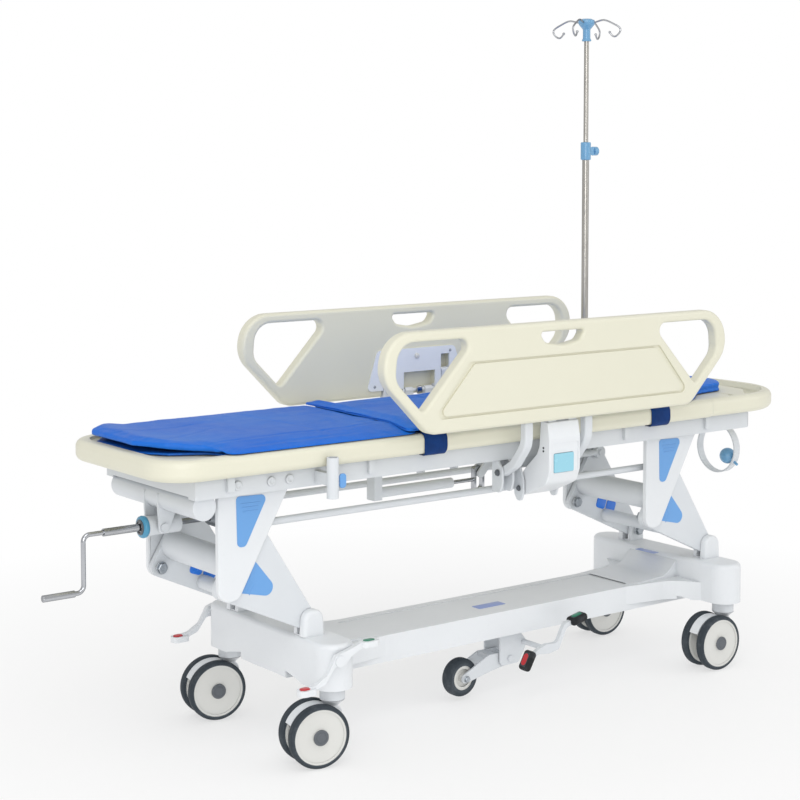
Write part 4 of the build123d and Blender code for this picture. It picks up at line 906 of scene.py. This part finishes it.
def crank_details():
    """Blue collar and dark washer where the crank enters its bearing."""
    at = (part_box("crank_housing")[0][0] - 0.003, 0, JOINTS["crank_turn"]["pos_m"][2])
    finished("crank_collar", turned(bmesh.new(), CRANK_COLLAR, at, ALONG, 48), "ring_teal", "crank_housing")
    finished("crank_washer", turned(bmesh.new(), CRANK_WASHER, at, ALONG, 48), "cap_dark", "crank_housing")


def pole_details():
    """Blue tab beside each pole socket and the bosses on the frame side."""
    pole_x = JOINTS["pole_turn"]["pos_m"][0]
    for n, (x, side) in enumerate(((pole_x, 1), (FOOT_SOCKET_X, -1))):
        patch(f"socket_tab_{n}", (x + 0.024, side * 0.270, 0.672), (0, side, 0), ALONG, 0.018, 0.034, 0.007,
              0.005, "insert_blue", "deck")
    for side_name, side in SIDES.items():
        for n, x in enumerate((-0.79, -0.70, -0.65)):
            bm = turned(bmesh.new(), FRAME_BOSS, (x, side * FRAME_SIDE, 0.678), (0, side, 0), 28)
            finished(f"frame_boss_{n}_{side_name}", bm, "frame_white", "deck")


castors()
lift_bolts()
insert_ribs()
frame_plugs()
rocker_lozenges()
steer_bolts()
brake_marks()
steer_marks()
labels()
rail_details()
crank_details()
pole_details()


# ---------------------------------------------------------------- studio
SKY_LIGHT = 0.68                                   # strength of the white surroundings as a light
FLOOR_CLEAR, FLOOR_FADED = 0.7, 2.2                # the floor fades to white between these distances
FLOOR_GLOW = 0.58                                  # share of plain white where it is clearest
CAMERA_PLACE = (-2.89095, -3.57487, 1.41461)
CAMERA_TURN = (85.94, 0.0, -37.2)                  # degrees about x, y and z
CAMERA_LENS = 80.04                                # millimetres, for a 36 mm sensor
CAMERA_SHIFT = (0.00093, -0.1459)


def studio():
    """White surroundings that are brighter to the camera than as a light."""
    world = bpy.data.worlds.new("studio_world")
    bpy.context.scene.world = world
    world.use_nodes = True
    tree = world.node_tree
    background = tree.nodes["Background"]
    background.inputs["Color"].default_value = (1.0, 1.0, 1.0, 1.0)
    seen = tree.nodes.new("ShaderNodeLightPath")
    level = tree.nodes.new("ShaderNodeMapRange")
    level.inputs["To Min"].default_value = SKY_LIGHT
    level.inputs["To Max"].default_value = 1.0
    tree.links.new(seen.outputs["Is Camera Ray"], level.inputs[0])
    tree.links.new(level.outputs[0], background.inputs["Strength"])


def camera():
    data = bpy.data.cameras.new("camera")
    data.sensor_width = 36.0
    data.lens = CAMERA_LENS
    data.shift_x, data.shift_y = CAMERA_SHIFT
    data.clip_end = 60.0
    view = bpy.data.objects.new("camera", data)
    view.location = CAMERA_PLACE
    view.rotation_euler = [math.radians(angle) for angle in CAMERA_TURN]
    bpy.context.scene.collection.objects.link(view)
    bpy.context.scene.camera = view


def area_light(name, place, aim, size, power):
    data = bpy.data.lights.new(name, "AREA")
    data.size = size
    data.energy = power
    light = bpy.data.objects.new(name, data)
    light.location = place
    light.rotation_euler = (Vector(aim) - Vector(place)).to_track_quat("-Z", "Y").to_euler()
    bpy.context.scene.collection.objects.link(light)


def floor():
    """Pale floor that fades into the white surroundings away from the trolley."""
    profile = [(0, 0.0), (0.8, 0.0), (2.0, 0.0), (7.0, 0.0), (7.0, -0.01), (0, -0.01)]
    bm = turned(bmesh.new(), profile, (0, 0, -0.0005), UP, 96)
    obj = finished("floor", bm, "frame_white")
    f = Finish("floor_white", (0.93, 0.93, 0.93, 1.0), 0.7, Specular_IOR_Level=0.15)
    f.tint(f.remap(f.noise(3.0, 4.0), 0.4, 0.7, 0.0, 0.04), (0.8, 0.82, 0.85, 1.0))
    f.bump(f.noise(60.0, 4.0), 0.0006, 0.15)
    distance = f.add("ShaderNodeVectorMath", {0: f.place}, operation="LENGTH").outputs["Value"]
    fade = f.remap(distance, FLOOR_CLEAR, FLOOR_FADED, FLOOR_GLOW, 1.0)
    glow = f.add("ShaderNodeEmission", {"Color": (1.0, 1.0, 1.0, 1.0), "Strength": 1.0}).outputs[0]
    both = f.add("ShaderNodeMixShader", {0: fade, 1: f.shader.outputs[0], 2: glow}).outputs[0]
    f.tree.links.new(both, f.tree.nodes["Material Output"].inputs["Surface"])
    obj.data.materials.clear()
    obj.data.materials.append(f.material)


studio()
camera()
floor()
area_light("key", (-2.2, -2.6, 4.6), (0, 0, 0.6), 3.0, 58.0)
area_light("front", (-3.4, -4.2, 1.7), (0, 0, 0.7), 2.0, 62.0)
area_light("fill", (3.6, -3.0, 2.6), (0, 0, 0.6), 3.0, 26.0)
bpy.context.scene.view_settings.view_transform = "Standard"
